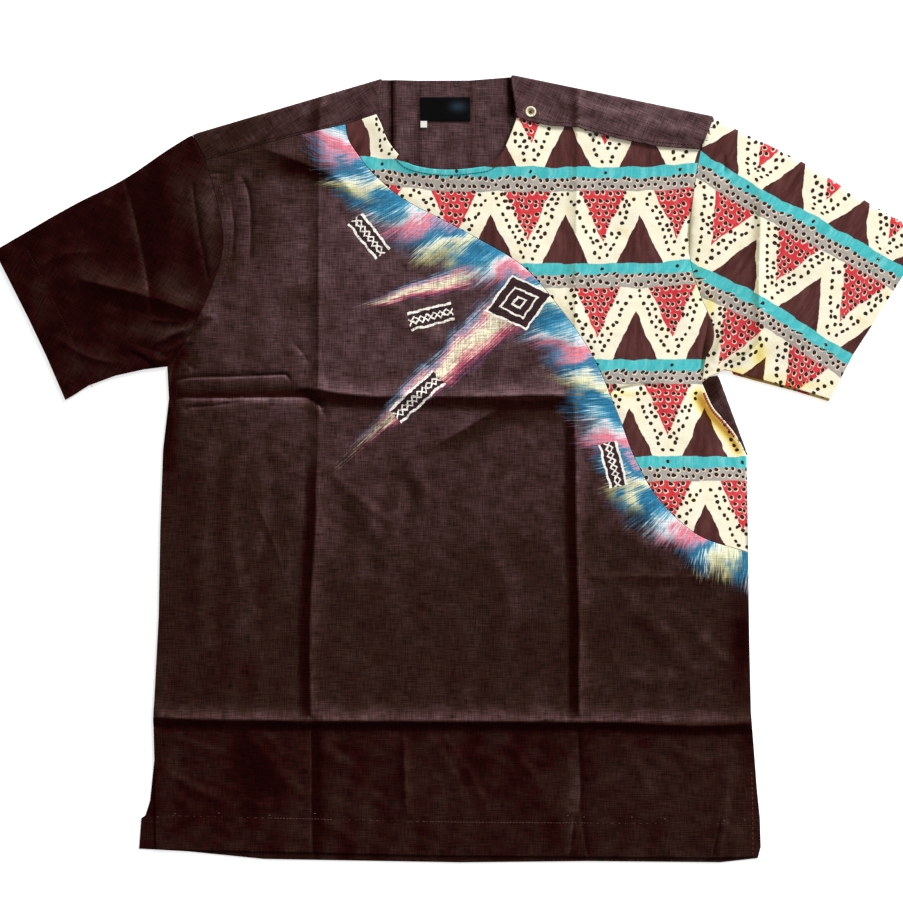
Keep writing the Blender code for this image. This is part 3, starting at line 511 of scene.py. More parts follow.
class Fold:
    """A fold line. Cloth past it, to the left of start to end, turns up and back over the piece."""

    def __init__(self, start, end, radius, margin=5, bulge=0, bulge_at=0, bulge_reach=1):
        self.start = np.array(start, float)
        run = np.array(end, float) - self.start
        self.length = math.hypot(*run)
        self.along = run / self.length
        self.out = np.array((-self.along[1], self.along[0]))
        self.radius, self.margin = radius, margin
        self.bulge, self.bulge_at, self.bulge_reach = bulge, bulge_at, bulge_reach

    def measure(self, points):
        """Distance along the fold line, and out past it."""
        offset = np.atleast_2d(points) - self.start
        return offset @ self.along, offset @ self.out

    def at(self, along, out):
        """Points at distances along the fold line and out past it."""
        return self.start + np.outer(along, self.along) + np.outer(out, self.out)

    def on_cut(self, laid):
        """Where points of the laid-over cloth lie on the flat cut."""
        along, out = self.measure(laid)
        return self.at(along, math.pi * self.radius - out)

    def past(self, points):
        """Which points of the cut lie past the fold line."""
        along, out = self.measure(points)
        return (out > 1e-4) & (along > -self.margin) & (along < self.length + self.margin)

    def lay(self, points):
        """Laid places of points of the cut, and their rise above the lower layer."""
        along, out = self.measure(points)
        bend = math.pi * self.radius
        angle = np.clip(out / self.radius, 0, math.pi)
        laid_out = self.radius * np.sin(angle) - np.maximum(0, out - bend)
        return self.at(along, laid_out), self.radius * (1 - np.cos(angle))

    def pushed(self, laid):
        """The fold isn't quite straight: the cloth near it lies a little further out or in."""
        along, out = self.measure(laid)
        share = np.exp(-((along - self.bulge_at) / self.bulge_reach) ** 2 - (out / self.bulge_reach) ** 2)
        return laid + np.outer(self.bulge * share, self.out)

    def rows(self, steps=5):
        """Rows of points round the bend."""
        along = np.arange(-20, self.length + 20, EDGE_STEP)
        outs = np.linspace(0, math.pi * self.radius, steps)
        return np.vstack([self.at(along, np.full(len(along), out)) for out in outs])


LEFT_SHOULDER_FOLD = Fold(LEFT_SHOULDER, LEFT_NECK_POINT, FOLD_RADIUS)
RIGHT_SHOULDER_FOLD = Fold(RIGHT_NECK_POINT, RIGHT_SHOULDER, LAP_FOLD_RADIUS)
WRAP_FOLD = Fold(WRAP_TOP, WRAP_FOOT, FOLD_RADIUS)


def crease_rows(on_cut=None):
    """Rows of mesh points along the creases, so that their crests stay crisp."""
    lines = [spline(np.array(crease.course)[:, :2]) for crease, _ in COURSES]
    rows = np.vstack([beside(line, offset) for line in lines for offset in (0, 1.3, -1.3, 3.4, -3.4)])
    return on_cut(rows) if on_cut else rows


def mesh_points(outline, rows):
    """Points inside an outline: rows first, then a grid where no row is near."""
    low, high = outline.min(axis=0) - 4, outline.max(axis=0) + 4
    x, y = np.meshgrid(np.arange(low[0], high[0], GRID), np.arange(low[1], high[1], GRID))
    grid = np.stack([x.ravel(), y.ravel()], axis=1)
    kept = [outline, drawn_in(outline, EDGE_ROUND)]
    for points, cell, spread in ((rows, 0.6, 1), (grid, 0.9, 2)):
        points = points[within(points, drawn_in(outline, EDGE_ROUND + 0.4))]
        taken = np.zeros(((high - low) / cell).astype(int) + 6, bool)
        for filled in kept:
            i, j = ((filled - low) / cell).astype(int).T
            taken[i, j] = True
        for _ in range(spread):
            grown = taken.copy()
            for axis in (0, 1):
                grown |= np.roll(taken, 1, axis) | np.roll(taken, -1, axis)
            taken = grown
        fresh = []
        for point, (i, j) in zip(points, ((points - low) / cell).astype(int)):
            if not taken[i, j]:
                fresh.append(point)
                if spread == 1:
                    taken[i - 1:i + 2, j - 1:j + 2] = True
        if fresh:
            kept.append(np.array(fresh))
    return np.vstack(kept)


def to_piece(name, mesh, material, wall=0):
    """Puts a mesh in the scene with its material and, where asked, a wall in millimetres."""
    mesh.materials.append(material)
    piece = bpy.data.objects.new(name, mesh)
    bpy.context.scene.collection.objects.link(piece)
    if wall:
        thick = piece.modifiers.new("wall", "SOLIDIFY")
        thick.thickness = wall * MM
        thick.offset = 0
    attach(piece, "root")
    return piece


def sew_up(name, outline, rows, place, fields, material, nodes):
    """Meshes a flat cut, lays it in place and gives it its wall."""
    outline = drawn_in(outline, SEAM_GAP / 2)
    points = mesh_points(outline, rows)
    cut, _, faces, *_ = geometry.delaunay_2d_cdt(
        [Vector(p) for p in points], [], [list(range(len(outline)))], 1, 1e-4)
    cut = np.array([tuple(p) for p in cut])
    laid, height = place(cut)
    mesh = bpy.data.meshes.new(name)
    mesh.from_pydata(np.column_stack([laid, height]) * MM, [], faces)
    mesh.polygons.foreach_set("use_smooth", [True] * len(mesh.polygons))
    for field, values in fields(cut, laid).items():
        if values.ndim == 1:
            mesh.attributes.new(field, "FLOAT", "POINT").data.foreach_set("value", values)
        else:
            spread = np.column_stack([values, np.zeros(len(values))])
            mesh.attributes.new(field, "FLOAT_VECTOR", "POINT").data.foreach_set("vector", spread.ravel())
    piece = to_piece(name, mesh, material, WALL)
    width, length = np.ptp(outline, axis=0) * MM
    closing = np.roll(outline, -1, axis=0)
    area = abs(np.sum(outline[:, 0] * closing[:, 1] - closing[:, 0] * outline[:, 1])) / 2 * MM * MM
    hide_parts(*nodes)
    return piece, (width, length), area


# the tone up the shirt, partly the dye's own and partly painted light and shade, lighter over the chest
# and darker lower down; and patches of it as x, y, reach in x and y, and change: some are uneven dye,
# many are painted shade in troughs and under folds, and some are painted light on rises
SHADE_AND_DYE_HEIGHTS = (-400, -253.5, -251.5, -230, -160, -60, 40, 90, 150, 240, 300, 380)
SHADE_AND_DYE_DEPTHS = (.165, .115, .34, .26, .25, .33, .43, .50, .55, .57, .54, .52)
SHADE_AND_DYE_PATCHES = [
    (170, 352, 150, 30, .14), (-235, 330, 80, 50, -.22), (-290, 150, 80, 130, -.20),
    (-300, -60, 90, 150, -.08), (-292, 60, 10, 50, -.16), (250, -330, 120, 90, .08),
    (-215, 245, 45, 60, -.18), (-160, 120, 60, 60, -.04), (-130, 292, 26, 13, -.30),
    (-168, 300, 24, 12, -.34), (-205, -298, 24, 40, -.15), (-286, 116, 12, 20, -.16),
    (-225, -20, 60, 70, -.06), (60, -330, 20, 50, -.05), (-20, -310, 26, 40, .06),
    (-292, 10, 12, 60, -.14), (281, -185, 12, 70, -.24), (-36, 28, 20, 12, -.08),
    (-150, 172, 30, 10, -.14), (-232, 250, 10, 22, .16), (-185, 284, 14, 12, .12),
    (-250, 150, 15, 16, .16), (-235, -205, 40, 26, -.08), (250, 86, 9, 20, -.30),
    (-240, -362, 70, 24, -.05), (8, -292, 16, 26, -.05), (265, -372, 60, 14, -.05),
    (66, 52, 42, 16, -.06), (-147, -330, 5, 60, -.08)]


def dye_and_shade_depth(points):
    """How pale the brown is: lighter over the chest and darker at the hem and the left side, partly uneven
    dye and partly painted light and shade.
    """
    depth = np.interp(points[:, 1], SHADE_AND_DYE_HEIGHTS, SHADE_AND_DYE_DEPTHS) + patches(points, SHADE_AND_DYE_PATCHES)
    below_fold = np.interp(points[:, 1], (-254, -250), (1.35, 1))
    return depth + mottle(points) * below_fold


def mottle(points):
    """Cloudy unevenness of the dye, longer along the cloth than across it."""
    return (
        0.03 * ripple(points * (1.6, 0.7), 62, 21) + 0.02 * ripple(points * (1, 1.4), 26, 22)
        + 0.012 * ripple(points, 11, 23))


PAINTED_SHADING, PAINTED_HIGHLIGHT = 0.22, 0.035         # how strongly the creases' painted light and shade change the tone, and how much painted highlight lies on their lit sides


def dye_with_painted_light(points, depth=None):
    """Tone with painted light on the creases' lit sides and painted shade on their dark sides and in the
    furrows.
    """
    _, painted_light_and_shade = crease_form(points)
    depth = dye_and_shade_depth(points) if depth is None else depth
    rubbed = depth * np.clip(1 + PAINTED_SHADING * painted_light_and_shade, 0.25, 2.2) + PAINTED_HIGHLIGHT * np.clip(painted_light_and_shade, 0, 3)
    return np.maximum(0.02, rubbed)


# Plain weave: real threads are half a millimetre apart. They are drawn 1.8 mm apart, as coarse as
# they need to be to show.
THREAD = 1.8
WAVES = 2 * math.pi / 20         # scale at which a wave texture repeats once a unit
SLUB_LENGTH, SLUB_WIDTH = 15, 1.15
RUMPLE = 7.0                     # height of soft rumples, against a thread's
MATT, MATT_SPECULAR = 0.9, 0.02  # undressed cotton has no gloss
BROWN_RELIEF = (0.8, 0.16)       # strength, and depth in mm
BROWNS = [
    (0.03, "#1A0303"), (0.08, "#220706"), (0.29, "#2F1D18"), (0.47, "#452F2F"), (0.55, "#4D3739"),
    (0.73, "#624A4C"), (0.92, "#785F62")]


def ramp(tree, factor, stops):
    """Colours along a factor."""
    node = add(tree, "ValToRGB", [factor])
    while len(node.color_ramp.elements) < len(stops):
        node.color_ramp.elements.new(0.5)
    for element, (place, colour) in zip(node.color_ramp.elements, stops):
        element.position = place
        element.color = linear(colour)
    return node


def plain_weave(tree):
    """Relief and shade of plain-woven cotton, from its place on the cut in millimetres."""
    cut = add(tree, "Attribute", attribute_name="cut").outputs["Vector"]
    grains = []
    for scale in ((1 / SLUB_LENGTH, 1 / SLUB_WIDTH, 1), (1 / SLUB_WIDTH, 1 / SLUB_LENGTH, 1)):
        place = add(tree, "Mapping", {"Vector": cut, "Scale": scale})
        grains.append(add(tree, "TexNoise", {"Vector": place, "Scale": 1.0, "Detail": 2.0}))
    grain = add(tree, "Math", [grains[0], 1.2, grains[1]], operation="MULTIPLY_ADD")
    threads = []
    for direction in ("X", "Y"):
        threads.append(add(
            tree, "TexWave",
            {"Vector": cut, "Scale": WAVES / THREAD, "Distortion": 2.2, "Detail": 2.0, "Detail Scale": 1.4},
            bands_direction=direction).outputs["Fac"])
    weave = add(tree, "Math", threads, operation="MULTIPLY")
    rumple = add(tree, "TexNoise", {"Vector": cut, "Scale": 0.06, "Detail": 3.0, "Roughness": 0.6})
    relief = add(tree, "Math", [weave, 0.12, grain], operation="MULTIPLY_ADD")
    relief = add(tree, "Math", [rumple, RUMPLE, relief], operation="MULTIPLY_ADD")
    shades = add(tree, "MapRange", [grain, 0.85, 1.35, 0.54, 1.46], clamp=False)
    weave_shade = add(tree, "MapRange", [weave, 0.0, 1.0, 0.85, 1.18])
    shade = add(tree, "Math", [shades, weave_shade], operation="MULTIPLY")
    return cut, shade, rumple, relief


def fold_place(folds, lower_rise=None):
    """How a piece lies whose cut folds over along one or more lines."""
    def place(cut):
        """Laid places of the cut's points, and the height of the middle of their wall."""
        laid = cut.copy()
        height = np.full(len(cut), LOWER_MID)
        if lower_rise:
            height += lower_rise(cut)
        for fold in folds:
            past = fold.past(cut)
            laid[past], rise = fold.lay(cut[past])
            over = rise > 1.999 * fold.radius
            rise[over] += top_level(laid[past][over]) - TOP_MID
            height[past] = LOWER_MID + rise
        for fold in folds:
            laid = fold.pushed(laid)
        return laid, height
    return place


PLEAT_LEFT, PLEAT_RIGHT, PLEAT_FOOT = -41.5, 10.5, 250
PLEAT_RISE = 0.4
FACING_EDGE, FACING_FOOT = -68, 315
FACING_RISE, FACING_REACH = 1.5, 16
STEP_WIDTH = 0.8                 # cloth steps up over this width
NECK_OPENING = closed(NECK_LINE, straight(BACK_NECK[::-1]))


def inside_rise(points):
    """The box pleat doubles the back below the neck, and the neck facing's edge stands a little."""
    inner = np.minimum(points[:, 0] - PLEAT_LEFT, PLEAT_RIGHT - points[:, 0])
    pleat = PLEAT_RISE * np.clip(inner / STEP_WIDTH + 0.5, 0, 1)
    pleat *= eased((points[:, 1] - PLEAT_FOOT) / 40)
    beyond = points[:, 0] - FACING_EDGE
    facing = FACING_RISE * np.clip(beyond / STEP_WIDTH + 0.5, 0, 1)
    facing *= np.exp(-(np.maximum(beyond, 0) / FACING_REACH) ** 2)
    facing *= eased((points[:, 1] - FACING_FOOT) / 8)
    return pleat + facing + 0.12 * (1 + ripple(points, 26, 12)) * within(points, NECK_OPENING)


def brown_dye_and_shade(tree, rumple):
    """Brown, paler where its tone is high, and a little cloudy. The tone holds the dye and painted light and
    shade.
    """
    tone = add(tree, "Attribute", attribute_name="tone").outputs["Fac"]
    cloudy = add(tree, "MapRange", [rumple, 0.3, 0.7, 0.82, 1.18], clamp=False)
    return ramp(tree, add(tree, "Math", [tone, cloudy], operation="MULTIPLY"), BROWNS)


# piece-dyed cotton: dull, a little cloudy, with slubs that run along and across it
matt_brown, tree = new_material("brown_plain_weave_cotton")
cut, shade, rumple, relief = plain_weave(tree)
# its colour follows the tone, which carries painted light and shade as well as the dye
brown_cloth = brown_dye_and_shade(tree, rumple)
brown_cloth = add(tree, "VectorMath", {0: brown_cloth, "Scale": shade}, operation="SCALE")
surface(tree, brown_cloth, MATT, relief, *BROWN_RELIEF, Specular_IOR_Level=MATT_SPECULAR)

LEFT_STRAP = np.vstack([straight(LEFT_STRAP_SEAM), [LEFT_NECK_POINT]])
RIGHT_STRAP = np.vstack([[RIGHT_NECK_POINT], straight(RIGHT_STRAP_EDGE)])
WRAP = np.vstack([straight(RIGHT_SLEEVE_UNDER[1::-1]), spline(INSERT_SIDE)])
BACK_OUTLINE = closed(
    straight(BACK_LEFT_SIDE[::-1]), spline(LEFT_ARMHOLE)[::-1],
    np.array([LEFT_SHOULDER]), LEFT_SHOULDER_FOLD.on_cut(LEFT_SHOULDER),
    LEFT_SHOULDER_FOLD.on_cut(LEFT_STRAP), straight(BACK_NECK),
    RIGHT_SHOULDER_FOLD.on_cut(RIGHT_STRAP),
    RIGHT_SHOULDER_FOLD.on_cut(RIGHT_SHOULDER), np.array([RIGHT_SHOULDER]),
    spline(RIGHT_ARMHOLE), straight(RIGHT_SLEEVE_UNDER[:2]),
    np.array([WRAP_TOP]), WRAP_FOLD.on_cut(WRAP_TOP), WRAP_FOLD.on_cut(WRAP[1:]),
    straight(BACK_RIGHT_SIDE), straight(BACK_HEM[::-1]))
BACK_FOLDS = (LEFT_SHOULDER_FOLD, RIGHT_SHOULDER_FOLD, WRAP_FOLD)
pleat_rows = np.vstack([
    straight([(x + off, PLEAT_FOOT), (x + off, 388)])
    for x in (PLEAT_LEFT, PLEAT_RIGHT, FACING_EDGE) for off in (-0.5, 0.5)])
STRAP_END = straight([RIGHT_NECK_POINT, RIGHT_STRAP_EDGE[0]])
INSIDE_TONE = 0.56               # the unworn inside of the back is paler than the front


def back_fields(cut, laid):
    """The tone of the back, its dye with painted crease light and shade; inside the neck, painted shadow
    lines at the facing's edge, the pleat and the strap.
    """
    inside_neck = within(laid, NECK_OPENING)
    tone = dye_with_painted_light(laid)
    seen = laid[inside_neck]
    x = seen[:, 0]
    shown = INSIDE_TONE + 0.03 * ripple(seen, 22, 31)
    # painted shadow lines: at the facing's edge, along the pleat's two folds and beside the strap's end
    shown -= INSIDE_TONE * np.exp(-((x - FACING_EDGE + 1.1) / 1.6) ** 2)
    for line, depth in ((PLEAT_LEFT, .10), (PLEAT_RIGHT, .2)):
        shown -= depth * np.exp(-((x - line) / 0.9) ** 2)
    shown -= INSIDE_TONE * np.exp(-(nearest(seen, STRAP_END)[0] / 5) ** 4)
    tone[inside_neck] = np.maximum(0.03, shown)
    return {"cut": cut, "tone": tone}


back, size, area = sew_up(
    "back_cloth", BACK_OUTLINE, np.vstack([fold.rows() for fold in BACK_FOLDS] + [pleat_rows]),
    fold_place(BACK_FOLDS, inside_rise), back_fields, matt_brown, ["back"])


# Neck label and white tab
# A satin-woven label, left plain, sewn inside the back below the neck, with a small folded tape
# caught under its corner.
LABEL_SIZE = (50, 24)
LABEL_CENTRE = (-15.5, 359.5)
TAB_SIZE = (6.5, 6.5)
TAPE_THICK = 0.5


def tape(name, centre, size, height, material, node):
    """A flat woven tape with soft corners and a slight wave."""
    bm = bmesh.new()
    bmesh.ops.create_grid(bm, x_segments=24, y_segments=12, size=0.5)
    for vert in bm.verts:
        x, y = vert.co.x * size[0], vert.co.y * size[1]
        wave = 0.16 * math.sin(x / 7.0 + 0.6) * math.cos(y / 9.0)
        vert.co = Vector((centre[0] + x, centre[1] + y, height + wave)) * MM
    mesh = bpy.data.meshes.new(name)
    bm.to_mesh(mesh)
    bm.free()
    mesh.polygons.foreach_set("use_smooth", [True] * len(mesh.polygons))
    piece = to_piece(name, mesh, material, TAPE_THICK)
    soft = piece.modifiers.new("soft_edge", "BEVEL")
    soft.width = 0.12 * MM
    soft.segments = 2
    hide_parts(node)
    return piece


# woven satin: its floats, drawn 0.8 mm wide, give it relief and are painted a little paler in fine rows as
# painted highlight, with a soft bluish painted sheen at one end
RIB = 0.8
RIB_SCALE = WAVES / (RIB * MM)
navy_satin, tree = new_material("navy_woven_satin")
place = add(tree, "TexCoord").outputs["Object"]
floats = add(
    tree, "TexWave", {"Vector": place, "Scale": RIB_SCALE, "Distortion": 0.5}, bands_direction="Y")
painted_sheen_place = add(
    tree, "Mapping", {"Vector": place, "Location": (-0.003, 0.362, 0), "Scale": (0.019, 0.012, 1)},
    vector_type="TEXTURE")
painted_sheen = add(tree, "TexGradient", [painted_sheen_place], gradient_type="QUADRATIC_SPHERE")
satin_mix = add(tree, "Math", [floats, 0.18, painted_sheen], operation="MULTIPLY_ADD")
# the ramp's bluish top is the painted sheen
satin_dye_and_sheen = ramp(tree, satin_mix, [(0.0, "#050303"), (0.25, "#080808"), (0.9, "#22303A")])
surface(tree, satin_dye_and_sheen, 0.5, floats, Specular_IOR_Level=0.05)

# woven polyester tape: white with fine upright ribs
white_tape, tree = new_material("white_woven_tape")
place = add(tree, "TexCoord").outputs["Object"]
ribs = add(tree, "TexWave", {"Vector": place, "Scale": RIB_SCALE}, bands_direction="X")
tape_dye = ramp(tree, ribs, [(0.0, "#D9D6CF"), (1.0, "#F4F2EC")])
surface(tree, tape_dye, 0.8, ribs, Specular_IOR_Level=0.2)

label_height = SOLID_WALL + PLEAT_RISE + LAYER_GAP + 0.4
label = tape("neck_label", LABEL_CENTRE, LABEL_SIZE, label_height, navy_satin, "label")
tab_centre = (
    LABEL_CENTRE[0] - (LABEL_SIZE[0] - TAB_SIZE[0]) / 2,
    LABEL_CENTRE[1] - (LABEL_SIZE[1] + TAB_SIZE[1]) / 2)
tab = tape("size_tape", tab_centre, TAB_SIZE, label_height, white_tape, "size_tab")


# Seam allowances
# The raw edges of the brown cuts, turned under and pressed flat below each seam. They are set to the
# darkest tone, as painted shade, and show as a dark line in the seam.
ALLOWANCE_WIDE, ALLOWANCE_THICK = 11, 0.35


def allowance(name, line):
    """A strip that lies below a seam, between the two layers, narrower at its ends."""
    width = np.full(len(line), ALLOWANCE_WIDE / 2)
    width[[0, -1]] *= 0.3
    rails = [beside(line, (share * width)[:, None]) for share in (-1, 0, 1)]
    verts = [
        (*point, level - WALL / 2 - ALLOWANCE_THICK)
        for rail in rails for point, level in zip(rail, top_level(rail))]
    count = len(line)
    faces = [
        (row * count + k, row * count + k + 1, (row + 1) * count + k + 1, (row + 1) * count + k)
        for row in (0, 1) for k in range(count - 1)]
    mesh = bpy.data.meshes.new(name)
    mesh.from_pydata(np.array(verts) * MM, [], faces)
    # the darkest tone: painted shade in the seam
    tones = mesh.attributes.new("tone", "FLOAT", "POINT")
    tones.data.foreach_set("value", [0.05] * len(verts))
    to_piece(name, mesh, matt_brown, ALLOWANCE_THICK)


LEFT_SLEEVE_TOP, RIGHT_SLEEVE_TOP = (-267.6, 331.4), (251.9, 348.8)
allowance("curved_seam_allowance", spline(CURVED_SEAM, 6)[1:-1])
allowance("left_armhole_allowance", np.vstack([[LEFT_SLEEVE_TOP], spline(LEFT_ARMHOLE, 6)[:-1]]))
allowance("right_armhole_allowance", np.vstack([[RIGHT_SLEEVE_TOP], spline(RIGHT_ARMHOLE, 6)[:-1]]))
allowance("left_strap_allowance", straight(LEFT_STRAP_SEAM, 6)[2:-2])


# Printed insert
# The upper right front: wax-print cotton with rows of triangles and dots between bands. Its neck
# edge is turned in and stitched, and the strap laps over its shoulder edge.
REPEAT_WIDE, REPEAT_DEEP = 74.5, 96.5
BAND_TEAL, BAND_GREY = 11.5, 24.5  # depth from the top of the repeat to each lower edge
RED_HALF, RED_DEEP = 23, 50
BROWN_HALF, BROWN_TIP = 23, 48
DOT = 1.95                       # radius of a dot
DOT_PITCH, RED_DOT_PITCH = 7.0, 6.9
DOT_SCATTER = 0.45
CRESCENT_SHIFT, CRESCENT_WIDER = (-0.05, -0.06, 0), 1.3
DOT_ROWS_NEAR, DOT_ROWS_FAR = -3.0, -14.0   # from a red triangle's side
DOTS_END = 94.0                  # depth of the last plain dots
GREY_DOTS_FROM, GREY_DOTS_TO = 10.0, 22.0
BLOCK_WAVER = (7.0, 7.0, 0)      # how far the blocks' edges waver
INSERT_UNDER_STRAP = [(58, 362), (150, 345), (242.1, 325)]
PRINT_START = (-5, 301.5)


def dot_rows(tree, place, pitch, start, jump):
    """Dots on staggered rows. Gives the dots, each dot's own centre and a crescent beside it."""
    near = add(tree, "VectorMath", {0: place, "Scale": 1 / pitch}, operation="SCALE")
    near = add(tree, "VectorMath", [near, start], operation="ADD")
    axes = add(tree, "SeparateXYZ", [near])
    staggered = add(tree, "Math", [axes.outputs["Y"], 0.5, axes.outputs["X"]], operation="MULTIPLY_ADD")
    staggered = add(tree, "Math", [staggered, jump], operation="ADD")
    lattice = add(tree, "CombineXYZ", [staggered, axes.outputs["Y"]])
    cells = add(
        tree, "TexVoronoi", {"Vector": lattice, "Scale": 1.0, "Randomness": DOT_SCATTER},
        voronoi_dimensions="2D")
    cell = add(tree, "SeparateXYZ", [cells.outputs["Position"]])
    level = add(tree, "Math", [cell.outputs["X"], jump], operation="SUBTRACT")
    level = add(tree, "Math", [cell.outputs["Y"], -0.5, level], operation="MULTIPLY_ADD")
    centre = add(tree, "CombineXYZ", [level, cell.outputs["Y"]])
    ragged = add(tree, "TexNoise", {"Vector": place, "Scale": 0.16})
    radius = add(tree, "MapRange", [ragged, 0.3, 0.7, 0.8 * DOT / pitch, 1.16 * DOT / pitch])
    away = add(tree, "VectorMath", [near, centre], operation="DISTANCE").outputs["Value"]
    dots = add(tree, "Math", [away, radius], operation="LESS_THAN")
    moved = add(tree, "VectorMath", [near, CRESCENT_SHIFT], operation="ADD")
    away = add(tree, "VectorMath", [moved, centre], operation="DISTANCE").outputs["Value"]
    wide = add(tree, "Math", [radius, CRESCENT_WIDER], operation="MULTIPLY")
    crescents = add(tree, "Math", [away, wide], operation="LESS_THAN")
    centre = add(tree, "VectorMath", [centre, start], operation="SUBTRACT")
    centre = add(tree, "VectorMath", {0: centre, "Scale": pitch}, operation="SCALE")
    return dots, centre, crescents


def between(tree, value, low, high):
    """1 where a value lies between two numbers."""
    above = add(tree, "Math", [value, low], operation="GREATER_THAN")
    below = add(tree, "Math", [value, high], operation="LESS_THAN")
    return add(tree, "Math", [above, below], operation="MULTIPLY")


def side_slope(tree, across, down, half, deep, start):
    """How far outside a triangle's slanting side a place is: below 0 is inside."""
    scaled = add(tree, "Math", [down, 1 / deep, -start / deep], operation="MULTIPLY_ADD")
    return add(tree, "Math", [across, 1 / half, scaled], operation="MULTIPLY_ADD")


def wavering(tree, place, amount, scale, detail=2.0, roughness=0.5):
    """A place that wavers, for edges drawn or cut by hand."""
    noise = add(tree, "TexNoise", {"Vector": place, "Scale": scale, "Detail": detail, "Roughness": roughness})
    offset = add(tree, "VectorMath", [noise.outputs["Color"], (0.5, 0.5, 0.5)], operation="SUBTRACT")
    return add(tree, "VectorMath", [offset, amount, place], operation="MULTIPLY_ADD")


def in_repeat(tree, place):
    """Where a place lies in the repeat: across from a red triangle, down, and outside its side."""
    axes = add(tree, "SeparateXYZ", [place])
    across = add(tree, "Math", [axes.outputs["X"], REPEAT_WIDE / 2], operation="PINGPONG")
    down = add(tree, "Math", [axes.outputs["Y"], REPEAT_DEEP], operation="FLOORED_MODULO")
    return axes, across, down, side_slope(tree, across, down, RED_HALF, RED_DEEP, BAND_GREY + RED_DEEP)


# wax-resist print on bleached cotton: flat strong dyes with ragged edges, smoother than the brown
crisp_print, tree = new_material("wax_print_cotton")
cut, shade, _, relief = plain_weave(tree)
flat = add(tree, "Attribute", attribute_name="print").outputs["Vector"]
flat = wavering(tree, flat, BLOCK_WAVER, 0.045, 3.0, 0.55)
axes, across, down, red_side = in_repeat(tree, flat)
from_brown = add(tree, "Math", [REPEAT_WIDE / 2, across], operation="SUBTRACT")
brown_side = side_slope(tree, from_brown, down, BROWN_HALF, -BROWN_TIP, BROWN_TIP)
in_red = add(tree, "Math", [red_side, 0.0], operation="LESS_THAN")
in_brown = add(tree, "Math", [brown_side, 0.0], operation="LESS_THAN")

# dots beside each red triangle, in two rows that follow its side; each side has rows of its own
tilt = math.pi / 2 + math.atan2(RED_HALF, RED_DEEP)
corner = (RED_HALF, BAND_GREY, 0)
halves = add(tree, "CombineXYZ", [across, down])
along_red = add(
    tree, "Mapping", {"Vector": halves, "Location": corner, "Rotation": (0, 0, tilt)},
    vector_type="TEXTURE")
jump = 0.0
for axis, size, far in (("Y", REPEAT_DEEP, 57.0), ("X", REPEAT_WIDE / 2, 31.0)):
    cell = add(tree, "Math", [axes.outputs[axis], 1 / size], operation="MULTIPLY")
    cell = add(tree, "Math", [cell], operation="FLOOR")
    jump = add(tree, "Math", [cell, far, jump], operation="MULTIPLY_ADD")
dots, centre, _ = dot_rows(tree, along_red, DOT_PITCH, (0, 0.74, 0), jump)
inward = add(tree, "SeparateXYZ", [centre]).outputs["Y"]
near_side = between(tree, inward, DOT_ROWS_FAR, DOT_ROWS_NEAR)
spot = add(tree, "Mapping", {"Vector": centre, "Location": corner, "Rotation": (0, 0, tilt)})
spot_axes = add(tree, "SeparateXYZ", [spot])
clear_low = between(tree, spot_axes.outputs["Y"], BAND_GREY + 2.0, DOTS_END)
clear_middle = add(tree, "Math", [spot_axes.outputs["X"], 1.7], operation="GREATER_THAN")
spot_from_brown = add(tree, "Math", [REPEAT_WIDE / 2, spot_axes.outputs["X"]], operation="SUBTRACT")
spot_brown = side_slope(tree, spot_from_brown, spot_axes.outputs["Y"], BROWN_HALF, -BROWN_TIP, BROWN_TIP)
clear_brown = add(tree, "Math", [spot_brown, 0.13], operation="GREATER_THAN")
for rule in (near_side, clear_low, clear_middle, clear_brown):
    dots = add(tree, "Math", [dots, rule], operation="MULTIPLY")
plain_dots = dots

# dots with pale crescents on the red triangles and the grey band
dots, centre, crescents = dot_rows(tree, flat, RED_DOT_PITCH, (0, -0.61, 0), 0.0)
_, _, spot_down, spot_red = in_repeat(tree, centre)
spot_in_red = add(tree, "Math", [spot_red, 0.04], operation="LESS_THAN")
spot_below = add(tree, "Math", [spot_down, BAND_GREY - 3], operation="GREATER_THAN")
on_red = add(tree, "Math", [spot_in_red, spot_below], operation="MULTIPLY")
on_grey = between(tree, spot_down, GREY_DOTS_FROM, GREY_DOTS_TO)
wanted = add(tree, "Math", [on_red, on_grey], operation="MAXIMUM")
ringed_dots = add(tree, "Math", [dots, wanted], operation="MULTIPLY")
crescents = add(tree, "Math", [crescents, wanted], operation="MULTIPLY")

# one dot in the teal band over each red triangle
lone = add(tree, "VectorMath", [halves, (0, 5.5, 0)], operation="DISTANCE").outputs["Value"]
lone_dots = add(tree, "Math", [lone, DOT * 0.9], operation="LESS_THAN")
all_dots = add(tree, "Math", [plain_dots, ringed_dots], operation="MAXIMUM")
all_dots = add(tree, "Math", [all_dots, lone_dots], operation="MAXIMUM")

blotch = add(tree, "TexNoise", {"Vector": flat, "Scale": 0.05, "Detail": 4.0, "Roughness": 0.6})
streaky = add(tree, "Mapping", {"Vector": flat, "Scale": (0.12, 0.02, 1)})
streaks = add(tree, "TexNoise", {"Vector": streaky, "Scale": 1.0, "Detail": 4.0, "Roughness": 0.7})
cream = ramp(tree, blotch, [(0.35, "#FCF8E8"), (0.62, "#FBF4DC"), (0.8, "#F0E2AE")])
brown = ramp(tree, streaks, [(0.3, "#42201F"), (0.5, "#54302F"), (0.72, "#68403F")])
red = ramp(tree, streaks, [(0.3, "#CC2C36"), (0.55, "#DB434B"), (0.75, "#E4686E")])
teal = ramp(tree, streaks, [(0.3, "#3FB0BA"), (0.5, "#50C2CB"), (0.72, "#86DADF")])
grey = ramp(tree, blotch, [(0.35, "#9C9E9C"), (0.65, "#B9B3AC")])
in_grey = add(tree, "Math", [down, BAND_GREY], operation="LESS_THAN")
in_teal = add(tree, "Math", [down, BAND_TEAL], operation="LESS_THAN")
